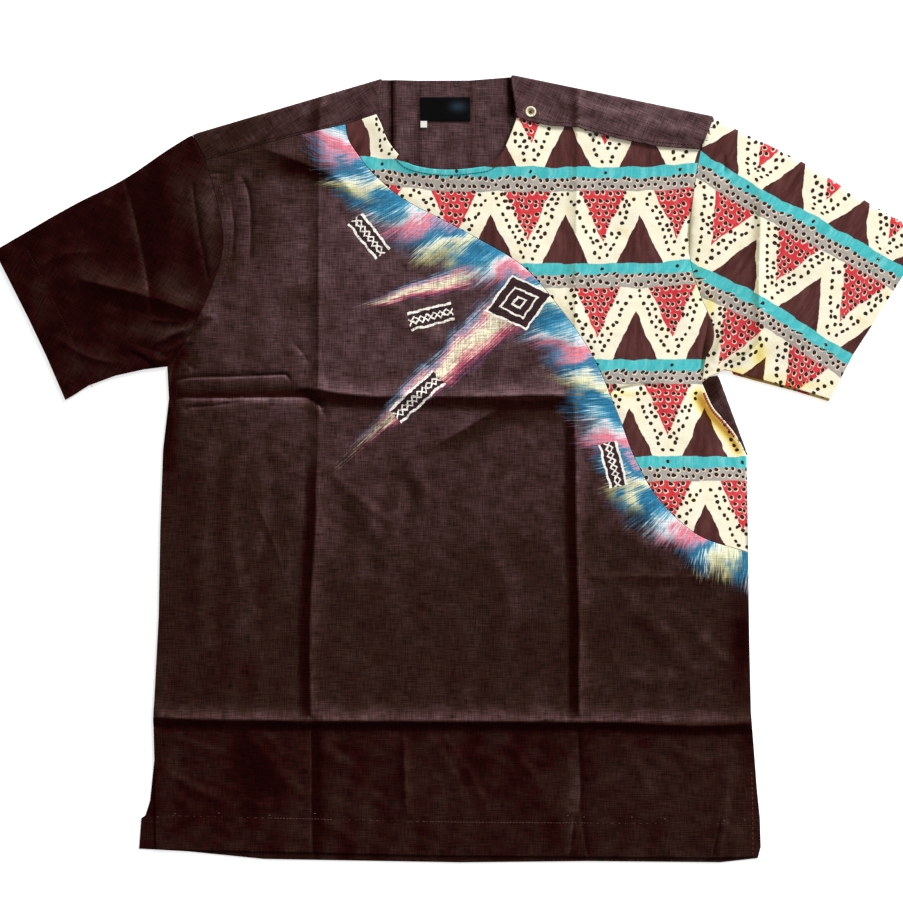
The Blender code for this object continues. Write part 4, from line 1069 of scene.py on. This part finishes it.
dot_dye = add(tree, "MixRGB", [on_red, linear("#33271F"), linear("#43201B")])
colour = cream
for where, dye in ((in_red, red), (in_brown, brown), (in_grey, grey), (in_teal, teal),
                   (crescents, linear("#F4DCD2")), (all_dots, dot_dye)):
    colour = add(tree, "MixRGB", [where, colour, dye])
soft_shade = add(tree, "MapRange", [shade, 0.7, 1.3, 0.95, 1.04])
printed = add(tree, "VectorMath", {0: colour, "Scale": soft_shade}, operation="SCALE")
# the tone turns the print gold as painted shade, and the crease shade attribute darkens it as painted shade
# in the creases
shaded = add(tree, "Attribute", attribute_name="tone").outputs["Fac"]
gold_painted_shade = ramp(tree, shaded, [(0.04, "#FDFBF6"), (0.35, "#F8EDA6"), (1.0, "#B88A2C")])
printed_and_shaded = add(tree, "VectorMath", [printed, gold_painted_shade], operation="MULTIPLY")
pressed = add(tree, "Attribute", attribute_name="pressed").outputs["Fac"]
printed_and_shaded = add(tree, "MixRGB", {0: pressed, 1: printed_and_shaded, 2: linear("#2A1A14")}, blend_type="MULTIPLY")
surface(tree, printed_and_shaded, 0.85, relief, 0.3, 0.08, Specular_IOR_Level=0.06)


def top_place(cut):
    """A piece of the upper layer lies where it is drawn."""
    return cut, top_level(cut)


def print_painted_shade(laid, gold_painted_shade):
    """The print's painted gold shade, deeper on the dark sides of creases, and the painted dark shade of its
    creases.
    """
    _, painted_light_and_shade = crease_form(laid)
    gold_painted_shade = gold_painted_shade + 0.05 + np.clip(-0.06 * painted_light_and_shade, 0, 0.4)
    return {"tone": np.clip(gold_painted_shade, 0, 1), "pressed": np.clip(-0.22 * painted_light_and_shade, 0, 0.85)}


UNDERARM_LINE = spline(INSERT_SIDE)


def insert_fields(cut, laid):
    """The print's place on the insert: level, but bent up at the neck's left and at the shoulder."""
    bend = 4 * np.exp(-((cut[:, 0] - 235) / 30) ** 2) * eased((cut[:, 1] - 100) / 80)
    bend += 9.5 * np.exp(-((cut[:, 0] + 98) / 50) ** 2)
    lean = -14 * np.exp(-((cut[:, 0] + 92) / 25) ** 2) * eased((cut[:, 1] - 300) / 40)
    flat = (cut - PRINT_START) * (1, -1) + np.column_stack([lean, bend])
    # each row of the repeat is printed a little further to the left than the one above it
    ends = [row * REPEAT_DEEP + part for row in range(4) for part in (7.5, 11.5)]
    flat[:, 0] += np.interp(flat[:, 1], ends, (0, 2.5, 2.5, 7.5, 7.5, 12.5, 12.5, 11))
    # painted gold shade lies on the print beside the underarm seam, in its creases and beside the right
    # armhole
    away, knot, _ = nearest(laid, UNDERARM_LINE)
    along = knot / (len(UNDERARM_LINE) - 1)
    gold_painted_shade = eased((away - 1) / 4) * eased((19 - 6 * along - away) / 10)
    gold_painted_shade *= eased(along * 6) * eased((1 - along) * 9)
    gold_painted_shade += patches(laid, [(160, 75, 28, 3.2, 0.22), (236, 214, 5, 40, 0.3)])
    return {"cut": cut, "print": flat, **print_painted_shade(laid, gold_painted_shade)}


INSERT_OUTLINE = closed(
    straight(LEFT_STRAP_SEAM[4:]), spline(FRONT_NECK), straight(INSERT_UNDER_STRAP),
    spline(RIGHT_ARMHOLE), spline(INSERT_SIDE), np.array([SEAM_FOOT]), spline(CURVED_SEAM)[::-1])
insert, size, area = sew_up(
    "front_insert_cloth", INSERT_OUTLINE, crease_rows(), top_place, insert_fields, crisp_print,
    ["front_insert"])


# Brown front
# The same brown cotton, with a feathered band of sprayed dyes along the curved seam, two feathered
# streaks and a few small resist-printed motifs. Joined to the insert along the curved seam.
FRONT_LEFT_SIDE = BACK_LEFT_SIDE[:7] + [(-306.3, -335), (-305.5, -380.9)]
FRONT_RIGHT_SIDE = [
    SEAM_FOOT, (288.5, -178.2), (289.7, -243.2), (291.5, -281.5), (293, -330), (293.5, -388.5)]
BAND_WIDE = 37
SPRAY = [
    (0.00, "#4A97B8"), (0.07, "#8FC3D4"), (0.13, "#E9EEF0"), (0.19, "#F0C3CC"), (0.26, "#DE7388"),
    (0.34, "#E796A6"), (0.40, "#7C93B4"), (0.46, "#2F7397"), (0.54, "#3F8CB0"), (0.60, "#C9DFDC"),
    (0.66, "#F7F1D4"), (0.73, "#E6E3B4"), (0.79, "#5F9DB4"), (0.86, "#28698F"), (0.94, "#357FA3"),
    (1.00, "#4A97B8")]
SPRAY_FRINGE = [
    (0.00, "#2C5570"), (0.16, "#6B7F94"), (0.28, "#8E5468"), (0.42, "#32506C"), (0.56, "#2B5F7E"),
    (0.66, "#A29B62"), (0.76, "#8C8A5A"), (0.86, "#24506C"), (1.00, "#2C5570")]
SPRAY_REPEAT = 104

# the brown cotton with sprayed dyes combed out in fine hairs, chalky where white was sprayed over
sprayed_brown, tree = new_material("spray_dyed_brown_cotton")
cut, shade, rumple, relief = plain_weave(tree)
colour = brown_dye_and_shade(tree, rumple)

# the band: x is the distance from the seam, y the way along it; fine hairs run out from the seam
seam = add(tree, "Attribute", attribute_name="seam").outputs["Vector"]
seam_axes = add(tree, "SeparateXYZ", [seam])
hairs_place = add(tree, "Mapping", {"Vector": seam, "Scale": (0.045, 0.8, 1)})
hairs = add(tree, "TexNoise", {"Vector": hairs_place, "Scale": 1.0, "Detail": 3.0, "Roughness": 0.6})
lobes_place = add(tree, "Mapping", {"Vector": seam, "Scale": (0.01, 0.05, 1)})
lobes = add(tree, "TexNoise", {"Vector": lobes_place, "Scale": 1.0, "Detail": 1.0})
clumps = add(tree, "TexNoise", {"Vector": seam, "Scale": 0.035, "Detail": 1.5})
hair_reach = add(tree, "MapRange", [hairs, 0.3, 0.7, -11.0, 11.0])
lobe_reach = add(tree, "MapRange", [lobes, 0.3, 0.7, -9.0, 9.0])
reach = add(tree, "Math", [hair_reach, lobe_reach], operation="ADD")
edge = add(tree, "Math", [reach, BAND_WIDE], operation="ADD")
depth = add(tree, "Math", [edge, seam_axes.outputs["X"]], operation="SUBTRACT")
in_band = add(tree, "MapRange", [depth, -9.0, 13.0, 0.0, 1.0], interpolation_type="SMOOTHSTEP")
clump_along = add(tree, "MapRange", [clumps, 0.3, 0.7, -13.0, 13.0])
hair_along = add(tree, "MapRange", [hairs, 0.3, 0.7, -11.0, 11.0])
run = add(tree, "Math", [seam_axes.outputs["Y"], clump_along], operation="ADD")
run = add(tree, "Math", [run, hair_along], operation="ADD")
lean = add(tree, "Math", [seam_axes.outputs["X"], 0.35, run], operation="MULTIPLY_ADD")
cycle = add(tree, "Math", [lean, 1 / SPRAY_REPEAT], operation="MULTIPLY")
cycle = add(tree, "Math", [cycle], operation="FRACT")
spray = ramp(tree, cycle, SPRAY)
edge_blue = add(tree, "MapRange", [depth, 4.0, 24.0, 0.8, 0.0])
fringe = ramp(tree, cycle, SPRAY_FRINGE)
spray = add(tree, "MixRGB", [edge_blue, spray, fringe])
colour = add(tree, "MixRGB", [in_band, colour, spray])

# two streaks that run out from the band: start, heading, length and half width at the root
STREAKS = [((38, 150), 222, 196, 23), ((-2, 190), 196, 104, 12)]
for start, heading, length, root in STREAKS:
    streak = add(
        tree, "Mapping",
        {"Vector": cut, "Location": (*start, 0), "Rotation": (0, 0, math.radians(heading))},
        vector_type="TEXTURE")
    streak_axes = add(tree, "SeparateXYZ", [streak])
    fine_place = add(tree, "Mapping", {"Vector": streak, "Scale": (0.035, 0.7, 1)})
    fine = add(tree, "TexNoise", {"Vector": fine_place, "Scale": 1.0, "Detail": 3.0, "Roughness": 0.7})
    jitter = add(tree, "MapRange", [fine, 0.3, 0.7, -0.42, 0.42])
    half = add(tree, "MapRange", [streak_axes.outputs["X"], -8.0, length, root, 0.28 * root])
    off = add(tree, "Math", [streak_axes.outputs["Y"], half], operation="DIVIDE")
    off = add(tree, "Math", [off, jitter], operation="ADD")
    sway = add(tree, "TexNoise", {"Vector": streak, "Scale": 0.03, "Detail": 1.0})
    sway = add(tree, "MapRange", [sway, 0.3, 0.7, -0.25, 0.25])
    off = add(tree, "Math", [off, sway], operation="ADD")
    spread = add(tree, "Math", [off], operation="ABSOLUTE")
    inside = add(tree, "MapRange", [spread, 1.2, 0.55, 0.0, 1.0], interpolation_type="SMOOTHSTEP")
    ahead = add(tree, "MapRange", [streak_axes.outputs["X"], -24.0, 10.0, 0.0, 1.0])
    ragged_end = add(tree, "MapRange", [fine, 0.3, 0.7, -0.25 * length, 0.25 * length])
    to_end = add(tree, "Math", [streak_axes.outputs["X"], ragged_end], operation="ADD")
    behind = add(tree, "MapRange", [to_end, length, length * 0.5, 0.0, 1.0])
    inside = add(tree, "Math", [inside, ahead], operation="MULTIPLY")
    inside = add(tree, "Math", [inside, behind], operation="MULTIPLY")
    place = add(tree, "MapRange", [off, -1.0, 1.0, 0.0, 1.0])
    dyes = ramp(tree, place, [
        (0.0, "#35607F"), (0.16, "#8FA9C0"), (0.28, "#D9788C"), (0.40, "#F3E9D0"), (0.54, "#EFEBC4"),
        (0.66, "#E4A9A6"), (0.82, "#B04A5E"), (1.0, "#4A4E70")])
    colour = add(tree, "MixRGB", [inside, colour, dyes])


HAND_WAVER = (5.0, 5.0, 0)
MOTIF_BROWN, MOTIF_PALE = linear("#3B2A2E"), linear("#F6F1E4")


def lozenge_row(tree, colour, centre, heading, count):
    """A resist-printed row of small lozenges between two pale lines, on the undyed brown."""
    pitch, half = 13.0, 4.3
    row = add(
        tree, "Mapping",
        {"Vector": cut, "Location": (*centre, 0), "Rotation": (0, 0, math.radians(heading))},
        vector_type="TEXTURE")
    row = wavering(tree, row, HAND_WAVER, 0.12)
    axes = add(tree, "SeparateXYZ", [row])
    to_end = add(tree, "Math", [axes.outputs["X"]], operation="ABSOLUTE")
    to_line = add(tree, "Math", [axes.outputs["Y"]], operation="ABSOLUTE")
    long_enough = add(tree, "Math", [to_end, pitch * count / 2], operation="LESS_THAN")
    ground = add(tree, "Math", [to_line, 8.0], operation="LESS_THAN")
    ground = add(tree, "Math", [ground, long_enough], operation="MULTIPLY")
    colour = add(tree, "MixRGB", [ground, colour, MOTIF_BROWN])
    step = add(tree, "Math", [axes.outputs["X"], pitch / 2], operation="PINGPONG")
    step = add(tree, "Math", [step, -1.0, pitch / 4], operation="MULTIPLY_ADD")
    step = add(tree, "Math", [step], operation="ABSOLUTE")
    diamond = add(tree, "Math", [step, to_line], operation="ADD")
    ring = between(tree, diamond, half - 2.0, half)
    line = between(tree, to_line, 7.0, 9.2)
    pale = add(tree, "Math", [ring, line], operation="MAXIMUM")
    pale = add(tree, "Math", [pale, long_enough], operation="MULTIPLY")
    return add(tree, "MixRGB", [pale, colour, MOTIF_PALE])


MOTIFS = [((-92, 232), -52, 3.5), ((-30, 152), 14, 3.5), ((152, 4), -76, 3.5), ((-44, 72), 42, 4.5)]
for centre, heading, count in MOTIFS:
    colour = lozenge_row(tree, colour, centre, heading, count)

# one larger resist-printed lozenge, where the streaks meet the band
LOZENGE = 27
big = add(
    tree, "Mapping", {"Vector": cut, "Location": (58, 166, 0), "Rotation": (0, 0, math.radians(14))},
    vector_type="TEXTURE")
big = wavering(tree, big, HAND_WAVER, 0.1)
axes = add(tree, "SeparateXYZ", [big])
wide = add(tree, "Math", [axes.outputs["X"]], operation="ABSOLUTE")
tall = add(tree, "Math", [axes.outputs["Y"]], operation="ABSOLUTE")
diamond = add(tree, "Math", [wide, 0.8, tall], operation="MULTIPLY_ADD")
dark = add(tree, "Math", [diamond, LOZENGE], operation="LESS_THAN")
colour = add(tree, "MixRGB", [dark, colour, linear("#3A282B")])
for low, high in ((LOZENGE - 1, LOZENGE + 1.6), (14.5, 16.7), (4.5, 7.0)):
    colour = add(tree, "MixRGB", [between(tree, diamond, low, high), colour, MOTIF_PALE])

# the sprayed dyes fill the weave, so its threads show less in the band
filled = add(tree, "Math", [shade, -0.55, 0.55], operation="MULTIPLY_ADD")
front_shade = add(tree, "Math", [in_band, filled, shade], operation="MULTIPLY_ADD")
front_colour = add(tree, "VectorMath", {0: colour, "Scale": front_shade}, operation="SCALE")
surface(tree, front_colour, MATT, relief, *BROWN_RELIEF, Specular_IOR_Level=MATT_SPECULAR)


def front_fields(cut, laid):
    """The tone of the front, its dye with painted crease light and shade, and each point's distance from the
    curved seam and way along it.
    """
    line = spline(CURVED_SEAM)
    before = line[0] + (line[0] - line[1]) * np.arange(12, 0, -1)[:, None]
    after = line[-1] + (line[-1] - line[-2]) * np.arange(1, 25)[:, None]
    away, knot, _ = nearest(laid, np.vstack([before, line, after]))
    run = (knot - 12) * EDGE_STEP
    away *= np.interp(run, (0, 120, 400, 500, 560, 600, 640), (1, .92, 1, 1.12, 1.3, 1.1, .8))
    run += away * np.interp(run, (0, 380, 500, 600), (0.45, 0.35, 0, -0.2))
    return {"cut": cut, "tone": dye_with_painted_light(laid), "seam": np.column_stack([away, run])}


FRONT_OUTLINE = closed(
    straight(LEFT_STRAP_SEAM[:5]), spline(CURVED_SEAM), straight(FRONT_RIGHT_SIDE),
    straight(FRONT_HEM[::-1]), straight(FRONT_LEFT_SIDE[::-1]), spline(LEFT_ARMHOLE)[::-1])
front, size, area = sew_up(
    "front_main_cloth", FRONT_OUTLINE, crease_rows(), top_place, front_fields, sprayed_brown,
    ["front_main"])


# Sleeves
# Each is one cut, folded along its top, set into the armhole and closed underneath, with a deep
# stitched cuff hem: the left one brown, the right one printed.
LEFT_SLEEVE_FOLD = Fold(
    LEFT_CUFF[-1], LEFT_SHOULDER, FOLD_RADIUS, margin=math.inf, bulge=-4, bulge_at=148, bulge_reach=42)
RIGHT_SLEEVE_FOLD = Fold(
    RIGHT_SHOULDER, RIGHT_CUFF[-1], FOLD_RADIUS, margin=math.inf, bulge=4, bulge_at=100, bulge_reach=55)
LOWER_PEEK, PEEK_FROM = 2.5, 60  # the lower layer shows this much below the upper, away from the fold
PEEK_MARK = 4                    # and from this mark of the underarm on
SLEEVE_PRINT_START = (59.2, -35.8)
SLEEVE_PRINT_TILT = 0.016
SLEEVE_PRINT_SCALE = REPEAT_DEEP / 102


def sleeve(name, fold, shoulder, armhole, under, cuff, peek, fields, material, node):
    """One cut: the lower layer, the top fold and the upper layer."""
    edge = closed(np.array([shoulder]), spline(armhole), straight(under), straight(cuff))
    lower = edge.copy()
    shows = (edge[:, 0] > under[PEEK_MARK][0]) & (-fold.measure(edge)[1] > PEEK_FROM)
    lower[shows] -= fold.out * peek
    outline = closed(lower, fold.on_cut(edge[::-1]))
    piece, size, area = sew_up(
        name, outline, np.vstack([fold.rows(), crease_rows(fold.on_cut)]), fold_place((fold,)),
        fields, material, [node])
    return piece


def left_fields(cut, laid):
    """The tone of the left sleeve, the darkest, partly its dye and partly painted shade, with painted light
    on the crests at its armhole, patches of painted shade and painted crease light and shade.
    """
    depth = .067 + patches(laid, (
            (-262, 270, 26, 46, .16), (-249, 262, 8, 40, .22), (-304, 186, 30, 12, .12),
            (-290, 181, 18, 10, .10), (-249, 208, 8, 16, .10),
            (-318, 190, 34, 12, .06), (-385, 205, 36, 16, .04), (-376, 106, 30, 16, .08),
            (-300, 240, 14, 50, -.05), (-290, 300, 20, 20, -.03), (-266, 215, 9, 30, -.06),
            (-290, 139, 34, 8, .26), (-265, 139, 9, 9, .5), (-274, 170, 14, 8, .22),
            (-345, 139, 22, 8, .07)))
    return {"cut": cut, "tone": dye_with_painted_light(laid, depth + mottle(laid))}


def right_fields(cut, laid):
    """The print's place on the right sleeve, which runs along its fold and sags a little, and its painted
    gold shade.
    """
    along, out = RIGHT_SLEEVE_FOLD.measure(cut)
    down = SLEEVE_PRINT_START[1] - math.pi * FOLD_RADIUS + out - SLEEVE_PRINT_TILT * (along - 120)
    down *= SLEEVE_PRINT_SCALE
    sag = np.exp(-((laid[:, 0] - 304) / 50) ** 2)
    down += sag * (11.5 * np.clip(down / REPEAT_DEEP, 0, 1) - 6) - 6 * eased(-down / 12)
    along = along - SLEEVE_PRINT_START[0] - 3.5 + 3.5 * eased((down - 7.5) / 4)
    along += 9.5 * eased((down - REPEAT_DEEP - 7.5) / 4)
    # painted gold shade at the underarm and the armhole, and over all the lower layer where it shows below
    # the upper
    painted_shade_places = (
        (290, 90, 40, 6, .2), (299, 112, 6, 14, .5), (330, 83, 40, 4, .25), (249, 164, 5, 9, .35),
        (239, 200, 4, 40, .1), (276, 97, 16, 4, .3))
    gold_painted_shade = np.max([patches(laid, [place]) for place in painted_shade_places], axis=0) + 0.7 * (out < 0)
    return {"cut": cut, "print": np.column_stack([along, down]), **print_painted_shade(laid, gold_painted_shade)}


left_sleeve = sleeve(
    "sleeve_left_cloth", LEFT_SLEEVE_FOLD, LEFT_SHOULDER, LEFT_ARMHOLE, LEFT_SLEEVE_UNDER, LEFT_CUFF,
    0, left_fields, matt_brown, "sleeve_left")
right_sleeve = sleeve(
    "sleeve_right_cloth", RIGHT_SLEEVE_FOLD, RIGHT_SHOULDER, RIGHT_ARMHOLE, RIGHT_SLEEVE_UNDER,
    RIGHT_CUFF, LOWER_PEEK, right_fields, crisp_print, "sleeve_right")


# Stitches
# Polyester sewing thread, in lockstitch rows that hold the neck facing, the straps, the hem, the
# cuffs and the side seam. Real stitches are 2.5 mm long. They are drawn 3 mm apart and a little thick.
STITCH_PITCH, STITCH_LENGTH, STITCH_THICK = 3.1, 2.3, 0.55


def thread(name, dye):
    """Matt sewing thread of one colour."""
    material, tree = new_material(name)
    surface(tree, linear(dye), 0.7, Specular_IOR_Level=0.1)
    return material


def stitches(name, pairs, material, thick=STITCH_THICK):
    """Short tapered threads, each between two points, joined in one mesh."""
    sides = 6
    turns = np.arange(sides) * 2 * math.pi / sides
    rings = ((0.0, 0.3), (0.18, 1.0), (0.82, 1.0), (1.0, 0.3))
    verts, faces = [], []
    for start, end in pairs:
        start, run = np.array(start, float), np.subtract(end, start)
        level = np.array((-run[1], run[0], 0)) / max(math.hypot(run[0], run[1]), 1e-6)
        upright = np.cross(run / np.linalg.norm(run), level)
        first = len(verts)
        for share, width in rings:
            for turn in turns:
                around = level * math.cos(turn) + upright * math.sin(turn) * 0.7
                verts.append(start + run * share + around * width * thick / 2)
        for ring in range(len(rings) - 1):
            for k in range(sides):
                a, b = first + ring * sides + k, first + ring * sides + (k + 1) % sides
                faces.append((a, b, b + sides, a + sides))
        last = first + (len(rings) - 1) * sides
        faces.append(tuple(range(first + sides - 1, first - 1, -1)))
        faces.append(tuple(range(last, last + sides)))
    mesh = bpy.data.meshes.new(name)
    mesh.from_pydata(np.array(verts) * MM, [], faces)
    mesh.polygons.foreach_set("use_smooth", [True] * len(mesh.polygons))
    to_piece(name, mesh, material)


def sewn(line, level, pitch=STITCH_PITCH, length=STITCH_LENGTH):
    """Pairs of points for a row of stitches along a line, on a surface."""
    runs = np.hypot(*np.diff(line, axis=0).T)
    way = np.concatenate([[0], np.cumsum(runs)])
    starts = np.arange(1, way[-1] - length, pitch)
    ends = []
    for at in (starts, starts + length):
        points = np.column_stack([np.interp(at, way, line[:, k]) for k in (0, 1)])
        ends.append(np.column_stack([points, level(points) + WALL / 2 + 0.12]))
    return list(zip(*ends))


def strap_level(points):
    """Height of the middle of the buttoned strap, which laps over the insert."""
    return top_level(points) + LAP_MID - TOP_MID


brown_thread = thread("brown_polyester_thread", "#2A1512")
pale_thread = thread("tan_polyester_thread", "#6B5046")
teal_thread = thread("dark_teal_polyester_thread", "#1C4A50")
red_thread = thread("red_polyester_thread", "#A8343A")
rust_thread = thread("rust_polyester_thread", "#7A3C1C")
cream_thread = thread("cream_polyester_thread", "#E8DFC8")

# how far each row lies from its edge or seam, and the part of it that shows
NECK_IN, STRAP_IN, LEFT_STRAP_IN, ARMHOLE_IN, SIDE_IN, VENT_IN = 5.5, 4, 3, 7.5, 8, 1.5
neck_row = beside(NECK_LINE, -NECK_IN)
neck_row = neck_row[neck_row[:, 1] < 312]
stitches("neck_stitches", sewn(neck_row, top_level, 3.0, 2.8), teal_thread, 0.7)
strap_row = beside(straight(RIGHT_STRAP_EDGE), STRAP_IN)
strap_row = strap_row[(strap_row[:, 0] > 60) & (strap_row[:, 0] < 234)]
stitches("strap_stitches", sewn(strap_row, strap_level), brown_thread)
left_row = beside(straight(LEFT_STRAP_SEAM), LEFT_STRAP_IN)
stitches("left_strap_stitches", sewn(left_row[2:], top_level), brown_thread)
armhole_row = beside(spline(LEFT_ARMHOLE), ARMHOLE_IN)
armhole_row = armhole_row[(armhole_row[:, 1] < 296) & (armhole_row[:, 1] > 150)]
stitches("armhole_stitches", sewn(armhole_row, top_level, 4.2, 1.6), pale_thread, 0.35)
stitches("hem_stitches", sewn(HEM_STITCHES[1:-1], top_level), pale_thread, 0.3)
# here and there the hem's thread stands up and catches the light
pale_places = [(-303, -348.5), (-286, -345.2), (-242, -344.5), (-191, -346.5), (-146, -345.2),
               (107, -347), (123, -348.5), (171, -348.5), (204, -350.1), (263, -351.5), (284, -351.5)]
pale_pairs = []
for x, y in pale_places:
    row = np.array([(x - 2.2, y), (x + 2.2, y)])
    pale_pairs += sewn(row, top_level, 3.0, 1.9)
stitches("pale_hem_stitches", pale_pairs, pale_thread)
stitches("left_cuff_stitches", sewn(LEFT_CUFF_STITCHES[:-1], top_level), brown_thread)
stitches("right_cuff_stitches", sewn(RIGHT_CUFF_STITCHES[:-1], top_level), cream_thread)
side_row = beside(straight(FRONT_LEFT_SIDE), SIDE_IN)
stitches("side_stitches", sewn(side_row[2:-2], top_level, 3.4, 2.2), brown_thread, 0.4)
edge_row = beside(straight(FRONT_RIGHT_SIDE), -VENT_IN)
edge_row = edge_row[edge_row[:, 1] < -300]
stitches("vent_stitches", sewn(edge_row, top_level, 5.0, 2.6), rust_thread)
insert_row = beside(spline(INSERT_SIDE), -0.9)[3:-2]
insert_pairs = sewn(insert_row, top_level, 2.6, 2.0)
stitches("underarm_cream_stitches", insert_pairs, cream_thread, 0.8)
insert_pairs = sewn(beside(spline(INSERT_SIDE), -2.4)[3:-7], top_level, 2.6, 2.6)
stitches("underarm_red_stitches", insert_pairs, red_thread, 1.8)
bartack = []
for step in range(7):
    place = np.array([(133.4 + 0.5 * step, 331.6), (133.0 + 0.5 * step, 337.4)])
    bartack += sewn(np.linspace(*place, 5), strap_level, 5, 3.6)
for x, y in ((251, 340.5), (249, 334), (246, 327.5)):
    bartack += sewn(np.array([(x - 3, y + 0.6), (x + 1.2, y)]), strap_level, 6, 2.4)
stitches("strap_bartack", bartack, brown_thread, 0.8)


# Shoulder button
# A turned four-hole shirt button of polyester resin, with a cream rim round a darker dished middle,
# sewn through the strap with a cross of dark thread beside its buttonhole's ends.
BUTTON_CENTRE = (69.5, 356)
BUTTON_BASE = LAP_MID + SOLID_WALL / 2 + PUFF * 0.6
BUTTON_PROFILE = [
    (0.01, 1.35), (3.0, 1.4), (3.4, 1.55), (3.75, 2.15), (4.3, 2.4), (4.9, 2.3), (5.35, 1.85), (5.5, 1.3),
    (5.3, 0.6), (4.6, 0.1), (0.01, 0.05)]
HOLE_OUT = 1.9

# turned and tumbled resin: a soft gloss over cloudy rings, cream outside and horn-brown in the groove
cream_resin, tree = new_material("turned_polyester_resin")
place = add(tree, "TexCoord").outputs["Object"]
flat_place = add(tree, "VectorMath", [place, (1, 1, 0)], operation="MULTIPLY")
radius = add(tree, "VectorMath", [flat_place], operation="LENGTH").outputs["Value"]
clouds = add(tree, "TexNoise", {"Vector": place, "Scale": 500.0, "Detail": 2.0})
radius = add(tree, "Math", [clouds, 0.0012, radius], operation="MULTIPLY_ADD")
share = add(tree, "Math", [radius, 1 / (6.5 * MM)], operation="MULTIPLY")
resin = ramp(tree, share, [
    (0.0, "#A58D62"), (0.40, "#B59C70"), (0.50, "#6E5636"), (0.58, "#DCCBA4"), (0.85, "#F1E7CF"),
    (0.97, "#B79E70")])
surface(tree, resin, 0.35, Specular_IOR_Level=0.4)
turns = 48
bm = bmesh.new()
rings = []
for radius, height in BUTTON_PROFILE:
    ring = []
    for k in range(turns):
        turn = 2 * math.pi * k / turns
        ring.append(bm.verts.new(Vector((radius * math.cos(turn), radius * math.sin(turn), height)) * MM))
    rings.append(ring)
for inner, outer in zip(rings, rings[1:]):
    for k in range(turns):
        bm.faces.new((inner[k], outer[k], outer[(k + 1) % turns], inner[(k + 1) % turns]))
for face in bm.faces:
    face.smooth = True
mesh = bpy.data.meshes.new("shoulder_button")
bm.to_mesh(mesh)
bm.free()
button = to_piece("shoulder_button", mesh, cream_resin)
button.location = Vector((*BUTTON_CENTRE, BUTTON_BASE)) * MM
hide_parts("button")
holes = []
for k in range(4):
    turn = math.pi / 4 + k * math.pi / 2
    x, y = (BUTTON_CENTRE[a] + HOLE_OUT * f(turn) for a, f in enumerate((math.cos, math.sin)))
    holes.append((x, y, BUTTON_BASE + 1.5))
cross = [(holes[0], holes[2]), (holes[1], holes[3])]
stitches("button_thread", cross, brown_thread, 1.1)
loops = []
for side, reach in ((-1, 7.6), (1, 8.2)):
    for lift in (-0.9, 0, 0.9):
        x, y = BUTTON_CENTRE[0] + side * reach, BUTTON_CENTRE[1] + lift - side * 1.4
        place = np.array([(x - 1.2, y), (x + 1.2, y)])
        loops += sewn(place, strap_level, 5, 1.4)
stitches("buttonhole_ends", loops, thread("rose_polyester_thread", "#96665E"), 0.8)
